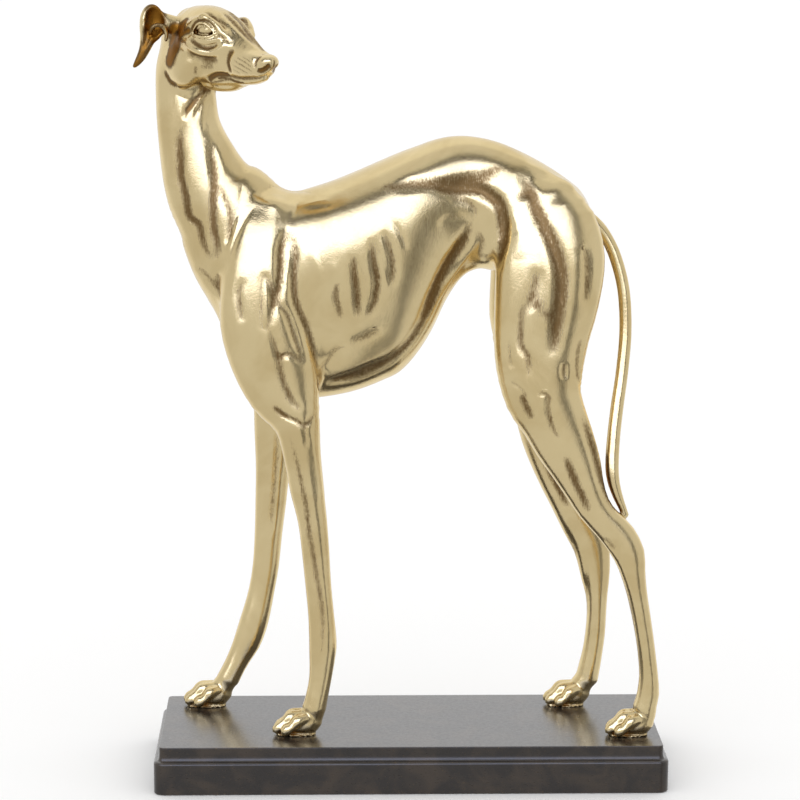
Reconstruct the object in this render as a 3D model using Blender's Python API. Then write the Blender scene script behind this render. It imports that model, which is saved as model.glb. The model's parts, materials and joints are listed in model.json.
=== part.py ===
"""Greyhound statue: a slender hound standing on a moulded plinth and looking back over its shoulder.

The figure is one casting. Its form is a field: the signed distance to a set of simple solids,
each swept along a few stations or set as an ellipsoid, that melt into their neighbours.
Grooves and folds are added to the distance along carved lines. The zero surface of the field
is then cut into faces. The plinth is a stack of rounded rectangles that follow its moulding.
"""

import math

import bpy
import numpy as np

# Sizes in metres
FIGURE_HEIGHT = 0.7232
PLINTH_HEIGHT = 0.047
PLINTH_FRONT_MARGIN = 0.016
PLINTH_REAR_MARGIN = 0.006
PLINTH_NEAR_MARGIN = 0.025
PLINTH_FAR_MARGIN = 0.020
PLINTH_CORNER_RADIUS = 0.005
SLAB_OUTSET = 0.0055
FILLET_HEIGHT = 0.0085
COVE_HEIGHT = 0.0055
SHOULDER_RADIUS = 0.003
TOP_EDGE_RADIUS = 0.0008
FOOT_EDGE_RADIUS = 0.0012
SOLE_CLEARANCE = 0.0003

# The figure's stations are shares of its height, counted in this many parts from the soles up.
# x runs to the tail, y away from the side that the head looks to, z up.
HEIGHT_PARTS = 723.2
GRID_STEP = 3.2
BLOCK = 8
FIGURE_TRIANGLES = 8700
FIELD_LOW = (-285.0, -110.0, -6.0)
FIELD_HIGH = (264.0, 92.0, 736.0)
FAR_AWAY = 200.0
FILL = 0.3

# Where the feet stand, in the same parts: first toe tip, last heel, near and far edge
PAW_FRONT = -234.0
PAW_REAR = 244.0
PAW_NEAR = -63.0
PAW_FAR = 68.0

# Trunk sections: x, top z, bottom z, half width, how much the belly is wider than the back
TRUNK = [
    (-186, 470, 396, 22, 0),
    (-170, 500, 362, 34, -0.05),
    (-150, 520, 344, 42, -0.1),
    (-130, 535, 337, 48, -0.14),
    (-105, 543, 335.5, 53, -0.18),
    (-80, 551, 338, 56, -0.2),
    (-55, 561, 343.5, 57.5, -0.2),
    (-30, 572, 353, 56.5, -0.2),
    (-10, 580.5, 363.5, 54, -0.18),
    (5, 586, 380, 50.5, -0.16),
    (20, 591.5, 404, 46, -0.12),
    (35, 595, 436, 41, -0.08),
    (50, 596, 457.5, 37.5, -0.02),
    (65, 594.5, 465.5, 36, 0),
    (84, 590, 463, 38, 0),
    (105, 581.5, 463, 41, 0),
    (130, 568.5, 468, 39, 0),
    (155, 552, 482, 32, 0),
    (178, 533, 500, 20, 0),
]

# Limb and neck stations, each by its two edges seen from the side:
# front x, front z, back x, back z, middle y, half thickness
NECK = [
    (-246, 668, -196, 660, 3, 22),
    (-249, 640, -192.5, 634, 3, 22.5),
    (-249.6, 605, -187.5, 605, 2, 24),
    (-247.5, 572, -173, 576, 1, 27),
    (-242.5, 537, -154, 552, 0, 31),
    (-231, 500, -130, 541, 0, 36),
    (-213, 455, -108, 520, 0, 41),
    (-194, 422, -88, 492, 0, 41),
    (-180, 392, -72, 470, 0, 36),
]
SHOULDER = [
    (-156, 520, -122, 528, 26, 13),
    (-172, 493, -118, 503, 32, 19),
    (-184, 455, -115, 470, 36, 24),
    (-188, 413, -106, 425, 38, 26.5),
    (-177, 374, -93, 385, 39, 25),
    (-160, 342, -89, 352, 41, 21.5),
]
NEAR_FORELEG = [
    (-135, 311, -91, 322, -43, 18),
    (-126.4, 281.6, -89.9, 286.5, -43, 15.5),
    (-120.5, 252, -87, 252, -43, 13.5),
    (-112.6, 222.6, -84, 217.6, -43, 12),
    (-109, 190, -81.6, 190, -43, 11),
    (-105.5, 155, -79.7, 155, -43, 10.5),
    (-102.7, 124, -76.9, 124, -43, 11),
    (-101.8, 97, -74.2, 97, -43, 12.8),
    (-101.8, 84, -74.8, 85, -43, 12.6),
    (-101.5, 68, -77.3, 70, -43, 11),
    (-102.2, 55, -79.8, 55, -43, 10.6),
    (-104.5, 43, -82.2, 42, -43, 11.5),
    (-107.5, 31, -84.5, 28, -43, 12),
]
FAR_FORELEG = [
    (-157.5, 308, -108, 320, 44, 18),
    (-157.2, 280, -115, 285, 47, 15.5),
    (-156.4, 251, -121.5, 250, 50, 13.5),
    (-157.2, 215, -125.6, 215, 52, 12),
    (-158, 185, -129.5, 185, 53, 11),
    (-160.2, 150, -133.2, 150, 54, 10.5),
    (-164.6, 123, -138, 122, 55, 11),
    (-170, 103, -141.6, 102, 55, 12.4),
    (-175.5, 86, -146, 83, 55, 12.8),
    (-180.5, 70, -152.5, 66, 55, 11.8),
    (-185.5, 56, -161, 53, 55, 11),
    (-190.8, 43, -167.8, 42, 55, 11.5),
    (-197, 32, -174, 28, 55, 12),
]
THIGH = [
    (86, 533, 160, 528, 25, 19),
    (82, 512, 179, 508, 30, 24),
    (81.5, 480, 188, 478, 33, 27),
    (80, 440, 183, 440, 36, 27.5),
    (79.5, 405, 174, 405, 38, 26),
]
NEAR_HIND_LEG = [
    (82, 377, 168.5, 372, -41, 24),
    (91, 350, 167, 342, -44, 21.5),
    (107, 323, 172.5, 320, -46, 18.5),
    (119, 302, 180, 300, -47, 16.5),
    (134, 278, 187, 279, -48, 15),
    (149, 256, 192, 255, -49, 13.5),
    (162, 235, 198, 236, -49.5, 12.5),
    (177, 215, 208.5, 222, -50, 11.8),
    (191, 196, 221, 211, -50, 11.5),
    (201, 179, 229.5, 194, -50, 11.8),
    (207.5, 163, 231.4, 174, -50, 12),
    (212.5, 147, 234, 152, -50, 11.4),
    (218, 125, 238, 127, -50, 10.6),
    (223, 101, 242, 102, -50, 10.2),
    (226, 80, 245, 81, -50, 10.2),
    (228, 60, 247.5, 62, -50, 10.6),
    (227, 42, 249, 44, -50, 11.8),
    (223.5, 30, 246.5, 29, -50, 12),
]
FAR_HIND_LEG = [
    (86, 377, 160, 376, 41, 24),
    (95, 348, 155, 345, 44, 21.5),
    (105, 321, 155, 318, 47, 18.5),
    (114, 285, 154, 291, 49, 16),
    (123, 262, 163, 267, 50, 14.5),
    (134, 238, 171, 243, 51, 13),
    (146, 214, 181, 221, 51.5, 12),
    (158, 188, 193, 200, 52, 11.6),
    (170, 163, 205, 178, 52, 11.6),
    (178, 137, 207.5, 148, 52, 11.8),
    (182.6, 118, 206.4, 120, 52, 11.2),
    (184.3, 98, 205.4, 99, 52, 10.6),
    (183.6, 76, 204.5, 77, 52, 10.4),
    (181.4, 58, 202.4, 58, 52, 10.8),
    (178, 44, 200.4, 42, 52, 11.8),
    (175, 31, 198, 27, 52, 12),
]

# Tail stations: x, z, y, radius
TAIL = [
    (172, 530, 0, 9),
    (183, 512, -1, 6.8),
    (192, 497, -2, 6.2),
    (202, 476, -4, 6.2),
    (210, 444, -8, 6.2),
    (212, 404, -13, 6.2),
    (208.5, 364, -20, 6.3),
    (203.5, 330, -27, 6.5),
    (200, 300, -33, 6.6),
    (198.5, 278, -38, 6.8),
    (199, 262, -41, 6.6),
    (202, 249, -42, 5.8),
    (207, 236, -43, 4.6),
    (212.5, 225, -44, 3),
]

# Each paw: toe tip x, heel x, middle y, which way its outer side faces
PAWS = [
    (-140, -89, -43, -1),
    (-234, -182.5, 55, 1),
    (193.5, 244, -50, -1),
    (140.3, 189, 52, 1),
]

# Toes: distance aside, how far drawn back
TOES = [
    (-12.0, 11.0),
    (-4.6, 1.5),
    (4.4, 0.0),
    (11.5, 8.5),
]

# The head has its own axes: forward to the nose, aside, and up. It is turned back from the body.
HEAD_TURN = math.radians(52.5)
HEAD_X = -230.0
HEAD_Y = 24.0
HEAD_LOW = (-290, -130, 630)
HEAD_HIGH = (-90, 70, 760)

# Skull and muzzle: forward, top, bottom, half width, how much the top is narrower
SKULL = [
    (10, 708, 664, 20, 0),
    (28, 720.5, 652, 26, 0),
    (46, 723.2, 646, 28.5, 0),
    (62, 722.3, 644.5, 27.5, 0),
    (77, 718, 646, 25, 0.05),
    (90, 712, 648, 21.5, 0.12),
    (103, 703.5, 650, 18, 0.1),
    (116, 695.5, 652.5, 15.5, 0.05),
    (130, 687.5, 655, 13.5, 0),
    (142, 682, 659, 11.5, 0),
    (149, 679, 664, 9.5, 0),
]

# Parts of the face: stations of forward, aside, up, half height, half width
CHEEKBONE = [(50, 25.5, 690, 5, 4), (64, 29.5, 686, 6.5, 4.5), (80, 27, 684, 7.5, 5), (96, 19, 688, 5, 4)]
BROW = [(60, 24, 706, 5, 4), (76, 24, 708.5, 5, 4.5), (91, 17.5, 704, 4.5, 4)]
FLEWS = [(106, 11.5, 670, 12, 6.5), (122, 10, 669.5, 12, 7.5), (137, 8, 670, 10.5, 7), (146, 5, 670.5, 8, 5.5)]
JAW = [(76, 0, 650, 5.5, 15), (106, 0, 653.5, 5.5, 12), (130, 0, 657, 5, 9), (142, 0, 660.5, 4.5, 6.5)]
CHEEK = ((42, 23, 665), (24, 11.5, 24))
EYEBALL = ((78.5, 21.8, 699.8), (10.5, 10, 9.6))
NOSE = ((149.5, 0, 673), (8.2, 9, 7.4))

# The ear that shows, thrown back and folded, in body axes: x, y, z, half height, half thickness
EAR_ROOT = [(-224, -13, 703, 6, 6), (-236, -18, 706, 8.5, 6.5), (-246, -21, 707, 10, 6.5)]
EAR_FOLD = ((-252.5, -22, 706.5), (12.2, 7, 16.6))
EAR_FLAP = [
    (-256.5, -22.5, 700, 9.5, 6.5),
    (-258, -23.5, 690, 8.5, 6.5),
    (-260.5, -24, 678, 6.4, 5.4),
    (-266, -24, 668, 4.4, 3.8),
    (-270, -24, 663, 2.6, 2.6),
]
EAR_BOWL = ((-251, -31, 706), (7.8, 8, 12.5))
EAR_TROUGH = [
    (-243, -28, 706, 4.5, 4),
    (-250, -31, 705, 6.5, 6.5),
    (-256, -32, 697, 6, 6.5),
    (-258.5, -32, 688, 4.8, 5.5),
]
# The other ear lies folded back along the neck: forward, aside, up, half height, half thickness
FAR_EAR = [(34, -25, 704, 7, 5), (22, -31, 700, 9, 5), (8, -34, 689, 8, 4.5), (-2, -33, 676, 5, 3.6), (-6, -31, 668, 3, 2.8)]

# Carved lines of the body seen from the side: side (0 both, -1 near, 1 far), width, depth, line of x and z
BODY_LINES = [
    (0, 3.2, 3.0, [(-121, 512), (-117, 480), (-115.5, 451), (-109.5, 429), (-100, 407), (-95, 382), (-92, 363)]),
    (0, 4.0, 2.6, [(-150, 505), (-146, 470), (-142, 440), (-137, 403), (-127, 349), (-118, 320)]),
    (0, 4.0, 2.2, [(-128, 495), (-130, 465), (-128, 440), (-115, 405), (-104, 380)]),
    (0, 4.5, 1.6, [(-165, 465), (-165, 430), (-158, 400), (-147, 372)]),
    (0, 4.5, 3.0, [(-221, 622), (-225, 595), (-227, 575), (-223, 545), (-221, 521), (-206, 496), (-199, 476)]),
    (0, 4.5, 3.0, [(-196, 600), (-196, 565), (-195, 535), (-193, 511), (-195, 476)]),
    (-1, 3.5, 2.2, [(-189, 556), (-180, 531), (-177, 506), (-180, 491)]),
    (0, 2.6, 1.5, [(-100, 490), (-93, 460), (-85, 421)]),
    (0, 2.6, 1.9, [(-76, 470), (-74, 445), (-70, 421)]),
    (0, 2.6, 2.0, [(-59, 490), (-54, 460), (-49, 421)]),
    (0, 2.6, 2.0, [(-43, 507), (-39, 470), (-34, 431)]),
    (0, 2.6, 1.9, [(-29, 510), (-25, 485), (-21, 456)]),
    (0, 2.6, 1.5, [(-23, 524), (-15, 507), (-7, 490)]),
    (0, 3.5, 2.0, [(-90, 358), (-60, 361), (-41, 368), (-21, 380), (-1, 399), (13, 424), (28, 453)]),
    (0, 8.0, 5.0, [(8, 420), (25, 455), (40, 482), (52, 505), (58, 522)]),
    (0, 5.0, 2.6, [(-30, 545), (20, 551), (48, 557), (87, 569)]),
    (0, 4.5, 4.5, [(57, 548), (72, 541), (82, 528), (87, 513), (88, 493.5), (86, 474), (83, 462)]),
    (0, 5.0, 3.4, [(96, 562), (104, 553), (120.6, 529), (130, 509.5), (138, 490), (142, 465.5), (142, 441), (137, 378)]),
    (0, 4.0, 2.2, [(103, 450), (104, 410), (107, 385), (112, 358)]),
    (0, 4.0, 2.0, [(152, 530), (160, 500), (163, 470), (161, 440), (155, 410), (152, 385)]),
    (0, 3.0, 2.0, [(165, 430), (158, 402), (157, 375), (162, 350)]),
    (-1, 3.5, 3.0, [(106, 346), (113, 332), (119, 318)]),
    (-1, 2.2, 2.0, [(118, 347), (126, 350), (132, 345), (135, 330), (138, 318), (146, 300)]),
    (-1, 3.5, 2.2, [(148, 292), (153, 280), (160, 262), (168, 246), (176, 228)]),
    (-1, 3.0, 2.2, [(165, 332), (178, 293), (186, 265), (196, 241), (206, 226)]),
    (1, 3.5, 3.0, [(104, 344), (111, 325), (116, 305)]),
    (1, 3.5, 2.2, [(132, 290), (140, 262), (152, 236), (166, 208)]),
]

# Carved lines of the face: width, depth, line of forward, aside and up
FACE_LINES = [
    (1.6, 2.2, [(78, 22, 652), (86, 20.5, 656.5), (94, 18.5, 659.5), (103, 16.5, 659.3), (117, 14.5, 656.5), (132, 12, 657), (146, 7, 659), (152, 0, 660)]),
    (1.5, 1.2, [(104, 17, 683), (101.5, 18, 676), (102.5, 18, 668), (106, 17.5, 662)]),
    (1.6, 2.4, [(146, 8.5, 666), (150, 8.2, 665.5), (154, 6, 668.5)]),
]

GOLD = (0.78, 0.62, 0.33, 1.0)
BRONZE = (0.045, 0.036, 0.030, 1.0)


def unit_rows(v):
    """Each row of v scaled to length one."""
    return v / np.maximum(np.linalg.norm(v, axis=-1, keepdims=True), 1e-9)


def smooth_line(rows, step):
    """Points about one step apart on the Catmull-Rom curve through the rows."""
    r = np.array(rows, dtype=float)
    ends = np.vstack([2 * r[0] - r[1], r, 2 * r[-1] - r[-2]])
    out = []
    for i in range(1, len(ends) - 2):
        a, b, c, d = ends[i - 1:i + 3]
        count = max(2, int(np.ceil(np.linalg.norm(c[:3] - b[:3]) / step)))
        t = np.linspace(0, 1, count, endpoint=False)[:, None]
        linear = (c - a) * t
        square = (2 * a - 5 * b + 4 * c - d) * t ** 2
        cube = (3 * b - a - 3 * c + d) * t ** 3
        out.append(0.5 * (2 * b + linear + square + cube))
    out.append(r[-1:])
    return np.vstack(out)


def nearest(p, line):
    """For each point: the place along the line that is nearest, and its squared distance."""
    middle = line.mean(0)
    c = line - middle
    j = ((c * c).sum(1)[None] - 2 * ((p - middle) @ c.T)).argmin(1)
    last = len(c) - 2
    best = np.full(len(p), np.inf)
    place = np.zeros(len(p))
    for i in (np.clip(j - 1, 0, last), np.clip(j, 0, last)):
        step = line[i + 1] - line[i]
        q = p - line[i]
        h = np.clip((q * step).sum(1) / (step * step).sum(1), 0, 1)
        q = q - h[:, None] * step
        r = (q * q).sum(1)
        place = np.where(r < best, i + h, place)
        best = np.minimum(r, best)
    return place, best


def melt(a, b, k):
    """Union of two distances with a soft seam about k wide."""
    h = np.clip(0.5 + 0.5 * (b - a) / k, 0, 1)
    return b * (1 - h) + a * h - k * h * (1 - h)


def stations(rows, side=None):
    """Turns edge-to-edge rows into middle, half depth and half thickness."""
    out = []
    for front_x, front_z, back_x, back_z, y, thick in rows:
        half = math.hypot(front_x - back_x, front_z - back_z) / 2
        middle_y = y if side is None else y * side
        out.append(((front_x + back_x) / 2, middle_y, (front_z + back_z) / 2, half, thick))
    return out


class Tube:
    """A body with elliptic sections swept along a line: rows of x, y, z, half depth, half thickness."""

    def __init__(self, rows, seam, side=(0, 1, 0), power=2.0, caps=(5.0, 5.0), cut=False):
        widest = max(max(r[3], r[4]) for r in rows)
        full = [tuple(r) + (0.0,) * (6 - len(r)) for r in rows]
        self.line = smooth_line(full, min(12.0, max(2.0, widest * 0.3)))
        self.line[:, 3:5] = np.maximum(self.line[:, 3:5], 0.3)
        self.seam = seam
        self.power = power
        self.caps = caps
        self.cut = cut
        centre = self.line[:, :3]
        self.along = unit_rows(np.gradient(centre, axis=0))
        across = np.array(side, dtype=float)
        self.aside = unit_rows(across - (self.along @ across)[:, None] * self.along)
        self.depth = np.cross(self.along, self.aside)
        reach = self.line[:, 3:5].max(1)[:, None] + seam + 14.0
        reach[0] += caps[0]
        reach[-1] += caps[1]
        self.low = (centre - reach).min(0)
        self.high = (centre + reach).max(0)

    def distance(self, p):
        place, _ = nearest(p, self.line[:, :3])
        i = np.minimum(place.astype(int), len(self.line) - 2)
        f = (place - i)[:, None]

        def mix(values):
            return values[i] * (1 - f) + values[i + 1] * f

        row = mix(self.line)
        q = p - row[:, :3]
        half = row[:, 3]
        u = (q * mix(self.depth)).sum(1) / half
        thick = row[:, 4] * (1 - row[:, 5] * np.clip(u, -1, 1))
        v = (q * mix(self.aside)).sum(1) / thick
        cap = np.where(place < 0.5 * (len(self.line) - 1), self.caps[0], self.caps[1])
        w = (q * mix(self.along)).sum(1) / cap
        size = (np.abs(u) ** self.power + np.abs(v) ** self.power + np.abs(w) ** self.power + 1e-6)
        size = size ** (1 / self.power)
        round_size = np.sqrt(u * u + v * v + w * w + 1e-6)
        slope = np.sqrt((u / half) ** 2 + (v / thick) ** 2 + (w / cap) ** 2 + 1e-9)
        return (size - 1) * round_size / slope


class Ball:
    """An ellipsoid: centre and the three half axes."""

    def __init__(self, centre, half, seam, cut=False):
        self.centre = np.array(centre, dtype=float)
        self.half = np.array(half, dtype=float)
        self.seam = seam
        self.cut = cut
        reach = self.half.max() + seam + 14.0
        self.low = self.centre - reach
        self.high = self.centre + reach

    def distance(self, p):
        q = (p - self.centre) / self.half
        size = np.sqrt((q * q).sum(1) + 1e-6)
        slope = np.sqrt(((q / self.half) ** 2).sum(1) + 1e-9)
        return (size - 1) * size / slope


class Trunk:
    """A body of upright sections along x: rows of x, top, bottom, half width and belly share."""

    cut = False

    def __init__(self, rows, seam, power, caps):
        r = np.array(rows, dtype=float)
        self.seam = seam
        self.power = power
        self.x = np.linspace(r[0, 0], r[-1, 0], 400)
        top, bottom, width, self.belly = [self.through(r[:, 0], r[:, j]) for j in range(1, 5)]
        first = np.minimum(1, (self.x - self.x[0]) / caps[0])
        last = np.minimum(1, (self.x[-1] - self.x) / caps[1])
        end = np.sqrt(np.clip(1 - (1 - first) ** 2, 0, 1)) * np.sqrt(np.clip(1 - (1 - last) ** 2, 0, 1))
        self.middle = (top + bottom) / 2
        self.half = (top - bottom) / 2 * end + 0.4
        self.width = width * end + 0.4
        reach = 14.0 + seam
        self.low = np.array([self.x[0] - reach, -self.width.max() - reach, bottom.min() - reach])
        self.high = np.array([self.x[-1] + reach, self.width.max() + reach, top.max() + reach])

    def through(self, xs, ys):
        """The smooth curve through (xs, ys), read at every self.x."""
        slope = np.gradient(ys, xs)
        i = np.clip(np.searchsorted(xs, self.x) - 1, 0, len(xs) - 2)
        h = xs[i + 1] - xs[i]
        t = (self.x - xs[i]) / h
        start = (2 * t ** 3 - 3 * t ** 2 + 1) * ys[i] + (t ** 3 - 2 * t ** 2 + t) * h * slope[i]
        return start + (3 * t ** 2 - 2 * t ** 3) * ys[i + 1] + (t ** 3 - t ** 2) * h * slope[i + 1]

    def size(self, x, y, z):
        u = (z - np.interp(x, self.x, self.middle)) / np.interp(x, self.x, self.half)
        wide = np.interp(x, self.x, self.width) * (1 - np.interp(x, self.x, self.belly) * np.clip(u, -1, 1))
        beyond = np.maximum(np.maximum(self.x[0] - x, x - self.x[-1]), 0)
        return (np.abs(u) ** self.power + np.abs(y / wide) ** self.power + 1e-6) ** (1 / self.power) + beyond / 10

    def distance(self, p):
        x, y, z = p[:, 0], p[:, 1], p[:, 2]
        s = 0.5
        size = self.size(x, y, z)
        slope_x = (self.size(x + s, y, z) - self.size(x - s, y, z)) / (2 * s)
        slope_y = (self.size(x, y + s, z) - size) / s
        slope_z = (self.size(x, y, z + s) - size) / s
        upright = slope_y ** 2 + slope_z ** 2
        slope = np.sqrt(np.minimum(slope_x ** 2, 2 * upright) + upright)
        return (size - 1) / np.maximum(slope, 0.004)


class Line:
    """A carved line. A line of (x, z) cuts straight in from the side, one of (x, y, z) lies in space."""

    def __init__(self, width, depth, points, side=0):
        self.flat = len(points[0]) == 2
        if self.flat:
            points = [(x, 0.0, z) for x, z in points]
        self.line = smooth_line(points, max(2.0, width))
        self.width = width
        self.deep = depth
        reach = 3.2 * width
        self.low = self.line.min(0) - reach
        self.high = self.line.max(0) + reach
        if self.flat:
            self.low[1] = 2.0 if side > 0 else -FAR_AWAY
            self.high[1] = -2.0 if side < 0 else FAR_AWAY

    def depth(self, p):
        q = p.copy()
        if self.flat:
            q[:, 1] = 0
        place, squared = nearest(q, self.line)
        t = 2 * place / (len(self.line) - 1) - 1
        fade = 1 - t ** 4
        if self.flat:
            fade = fade * np.clip(np.abs(p[:, 1]) / 8, 0, 1)
        return self.deep * fade * np.exp(-squared / (2 * self.width ** 2))


def inside(p, low, high):
    """Index of the points that lie in a box."""
    return np.nonzero(np.all((p > low) & (p < high), axis=1))[0]


def carve(p, solids, lines):
    """Distance to the melted solids, with the carved lines added."""
    d = np.full(len(p), FAR_AWAY)
    for solid in solids:
        m = inside(p, solid.low, solid.high)
        if len(m) == 0:
            continue
        if solid.cut:
            d[m] = -melt(-d[m], solid.distance(p[m]), solid.seam)
        else:
            d[m] = melt(d[m], solid.distance(p[m]), solid.seam)
    for line in lines:
        m = inside(p, line.low, line.high)
        if len(m):
            d[m] += line.depth(p[m])
    return d


class Head:
    """The head in its own axes, with both sides alike apart from the far ear."""

    cut = False
    seam = 9.0

    def __init__(self):
        self.low = np.array(HEAD_LOW, dtype=float)
        self.high = np.array(HEAD_HIGH, dtype=float)
        skull = [(s, 0, (top + low) / 2, (top - low) / 2, wide, egg) for s, top, low, wide, egg in SKULL]
        self.solids = [
            Tube(skull, 6, power=2.3, caps=(14, 5)),
            Ball(*CHEEK, 8),
            Tube(CHEEKBONE, 10),
            Tube(BROW, 12),
            Ball(*EYEBALL, 3),
            Tube(FLEWS, 5),
            Ball(*NOSE, 3),
            Tube(JAW, 4),
        ]
        self.lines = [Line(width, depth, points) for width, depth, points in FACE_LINES]
        self.far_ear = Tube(FAR_EAR, 3, caps=(4, 2.5))

    def distance(self, p):
        cos, sin = math.cos(HEAD_TURN), math.sin(HEAD_TURN)
        x = p[:, 0] - HEAD_X
        y = p[:, 1] - HEAD_Y
        q = np.stack([x * cos - y * sin, -x * sin - y * cos, p[:, 2]], 1)
        ear = self.far_ear.distance(q)
        q[:, 1] = np.abs(q[:, 1])
        return melt(carve(q, self.solids, self.lines), ear, 3)


def paw(tip, heel, y, out):
    """One paw: the ball and heel, four toes and the thin cast sole it stands on."""
    scale = (heel - tip) / 50.0

    def at(forward, aside, z, half, thick):
        return heel - forward * scale, y + aside * out, z, half, thick

    ball = [at(9, 0, 21, 11, 10), at(15, 0, 14.5, 13, 11.5), at(30, 0, 10.5, 10, 11.5)]
    solids = [Tube(ball, 7, caps=(8, 8))]
    for aside, back in TOES:
        low = 2.5 if back > 4 else 0.0
        toe = [
            at(15, aside * 0.7, 20 - low, 5.5, 4.6),
            at(28 - back * 0.6, aside * 0.9, 19.3 - low, 6.2, 5.2),
            at(38.5 - back, aside * 1.02, 14.6 - low, 6.3, 5.3),
            at(45 - back, aside * 1.02, 8, 5.8, 5),
        ]
        solids.append(Tube(toe, 2, caps=(4, 5)))
    sole = [at(11, 0, 0.6, 2, 10), at(26, 0, 0.6, 2, 13), at(40, 0, 0.6, 2, 10)]
    solids.append(Tube(sole, 1, caps=(6, 6)))
    return solids


def figure_solids():
    """All the solids of the greyhound, in the order in which they melt together."""
    solids = [Trunk(TRUNK, 10, 2.15, (14, 16)), Tube(stations(NECK), 16, caps=(16, 20))]
    for side, foreleg in ((-1, NEAR_FORELEG), (1, FAR_FORELEG)):
        solids.append(Tube(stations(SHOULDER, side) + stations(foreleg), 12, power=2.1, caps=(14, 8)))
    for side, hind_leg in ((-1, NEAR_HIND_LEG), (1, FAR_HIND_LEG)):
        solids.append(Tube(stations(THIGH, side) + stations(hind_leg), 12, power=2.1, caps=(20, 8)))
    for tip, heel, y, out in PAWS:
        solids.extend(paw(tip, heel, y, out))
    solids.append(Tube([(x, y, z, r, r) for x, z, y, r in TAIL], 4, caps=(6, 3)))
    solids.append(Head())
    solids.append(Tube(EAR_ROOT, 4))
    solids.append(Ball(*EAR_FOLD, 3))
    solids.append(Tube(EAR_FLAP, 3, caps=(5, 2)))
    solids.append(Ball(*EAR_BOWL, 2, cut=True))
    solids.append(Tube(EAR_TROUGH, 2, caps=(4, 4), cut=True))
    return solids


def figure_field():
    """The function that gives the distance to the greyhound's surface, cut flat at the soles."""
    solids = figure_solids()
    lines = [Line(width, depth, points, side) for side, width, depth, points in BODY_LINES]

    def field(p):
        return np.maximum(carve(p, solids, lines), -p[:, 2])

    return field


def sample(field):
    """Field values on the grid, exact near the surface and only the sign elsewhere."""
    low = np.array(FIELD_LOW)
    blocks = np.ceil((np.array(FIELD_HIGH) - low) / (GRID_STEP * BLOCK)).astype(int)
    cells = np.stack(np.meshgrid(*[np.arange(m) for m in blocks], indexing='ij'), -1).reshape(-1, 3)
    halves = np.array([[i, j, k] for i in (0, 1) for j in (0, 1) for k in (0, 1)])
    size = BLOCK
    while size > 1:
        d = field(low + GRID_STEP * (cells * size + (size - 1) / 2))
        signs = np.sign(d) * FAR_AWAY
        if size == BLOCK:
            values = signs.reshape(blocks)
            for axis in range(3):
                values = np.repeat(values, BLOCK, axis)
        near = np.abs(d) < GRID_STEP * (size * 1.15 + 1.2)
        rest = cells[~near] * size
        for offset in np.stack(np.meshgrid(*[np.arange(size)] * 3, indexing='ij'), -1).reshape(-1, 3):
            i, j, k = (rest + offset).T
            values[i, j, k] = signs[~near]
        cells = (cells[near][:, None, :] * 2 + halves[None]).reshape(-1, 3)
        size //= 2
    values[cells[:, 0], cells[:, 1], cells[:, 2]] = field(low + GRID_STEP * cells)
    return low, values


def split_patterns():
    """Which in-and-out patterns of a cube's eight corners leave either kind in two parts."""
    split = np.zeros(256, dtype=bool)
    for pattern in range(256):
        for kind in (0, 1):
            alike = {c for c in range(8) if pattern >> c & 1 == kind}
            reached = set(sorted(alike)[:1])
            grown = True
            while grown:
                beside = {c ^ step for c in reached for step in (1, 2, 4)} & alike
                grown = not beside <= reached
                reached |= beside
            split[pattern] |= reached != alike
    return split


def close_corners(values):
    """Fills the cells of the grid that the surface would cross in two places."""
    split = split_patterns()
    n = np.array(values.shape) - 1
    corners = [(c & 1, c >> 1 & 1, c >> 2) for c in range(8)]
    while True:
        pattern = np.zeros(n, dtype=int)
        for c, (i, j, k) in enumerate(corners):
            pattern += (values[i:n[0] + i, j:n[1] + j, k:n[2] + k] < 0) << c
        x, y, z = np.nonzero(split[pattern])
        if len(x) == 0:
            return
        for i, j, k in corners:
            old = values[x + i, y + j, z + k]
            values[x + i, y + j, z + k] = np.minimum(old, -FILL * GRID_STEP)


def skin(field):
    """Vertices and four-sided faces of the zero surface: one vertex for each cell that it crosses."""
    low, values = sample(field)
    close_corners(values)
    within = values < 0
    n = np.array(values.shape)
    corners = np.array([[i, j, k] for i in (0, 1) for j in (0, 1) for k in (0, 1)])
    count = np.zeros(n - 1, dtype=int)
    for i, j, k in corners:
        count += within[i:n[0] - 1 + i, j:n[1] - 1 + j, k:n[2] - 1 + k]
    crossed = np.nonzero(((count > 0) & (count < 8)).ravel())[0]
    number = np.full(count.size, -1)
    number[crossed] = np.arange(len(crossed))
    cell = np.stack(np.unravel_index(crossed, count.shape), -1)
    at_corner = [values[cell[:, 0] + i, cell[:, 1] + j, cell[:, 2] + k] for i, j, k in corners]
    total = np.zeros((len(cell), 3))
    hits = np.zeros(len(cell))
    for a in range(8):
        for b in range(a + 1, 8):
            if np.abs(corners[a] - corners[b]).sum() != 1:
                continue
            hit = (at_corner[a] < 0) != (at_corner[b] < 0)
            t = np.where(hit, at_corner[a] / np.where(hit, at_corner[a] - at_corner[b], 1), 0)
            total += hit[:, None] * (corners[a] + t[:, None] * (corners[b] - corners[a]))
            hits += hit
    vertices = low + GRID_STEP * (cell + total / hits[:, None])
    faces = []
    for axis in range(3):
        one, two = (axis + 1) % 3, (axis + 2) % 3
        before = [slice(1, m - 1) for m in n]
        after = [slice(1, m - 1) for m in n]
        before[axis] = slice(0, n[axis] - 1)
        after[axis] = slice(1, n[axis])
        start = within[tuple(before)]
        edge = np.stack(np.nonzero(start != within[tuple(after)]), -1)
        outward = start[edge[:, 0], edge[:, 1], edge[:, 2]]
        edge += np.array([q != axis for q in range(3)], dtype=int)
        ring = []
        for a, b in ((-1, -1), (0, -1), (0, 0), (-1, 0)):
            k = edge.copy()
            k[:, one] += a
            k[:, two] += b
            ring.append(number[np.ravel_multi_index(tuple(k.T), count.shape)])
        ring = np.stack(ring, -1)
        ring[~outward] = ring[~outward][:, ::-1]
        faces.append(ring)
    return vertices, np.vstack(faces)


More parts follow.
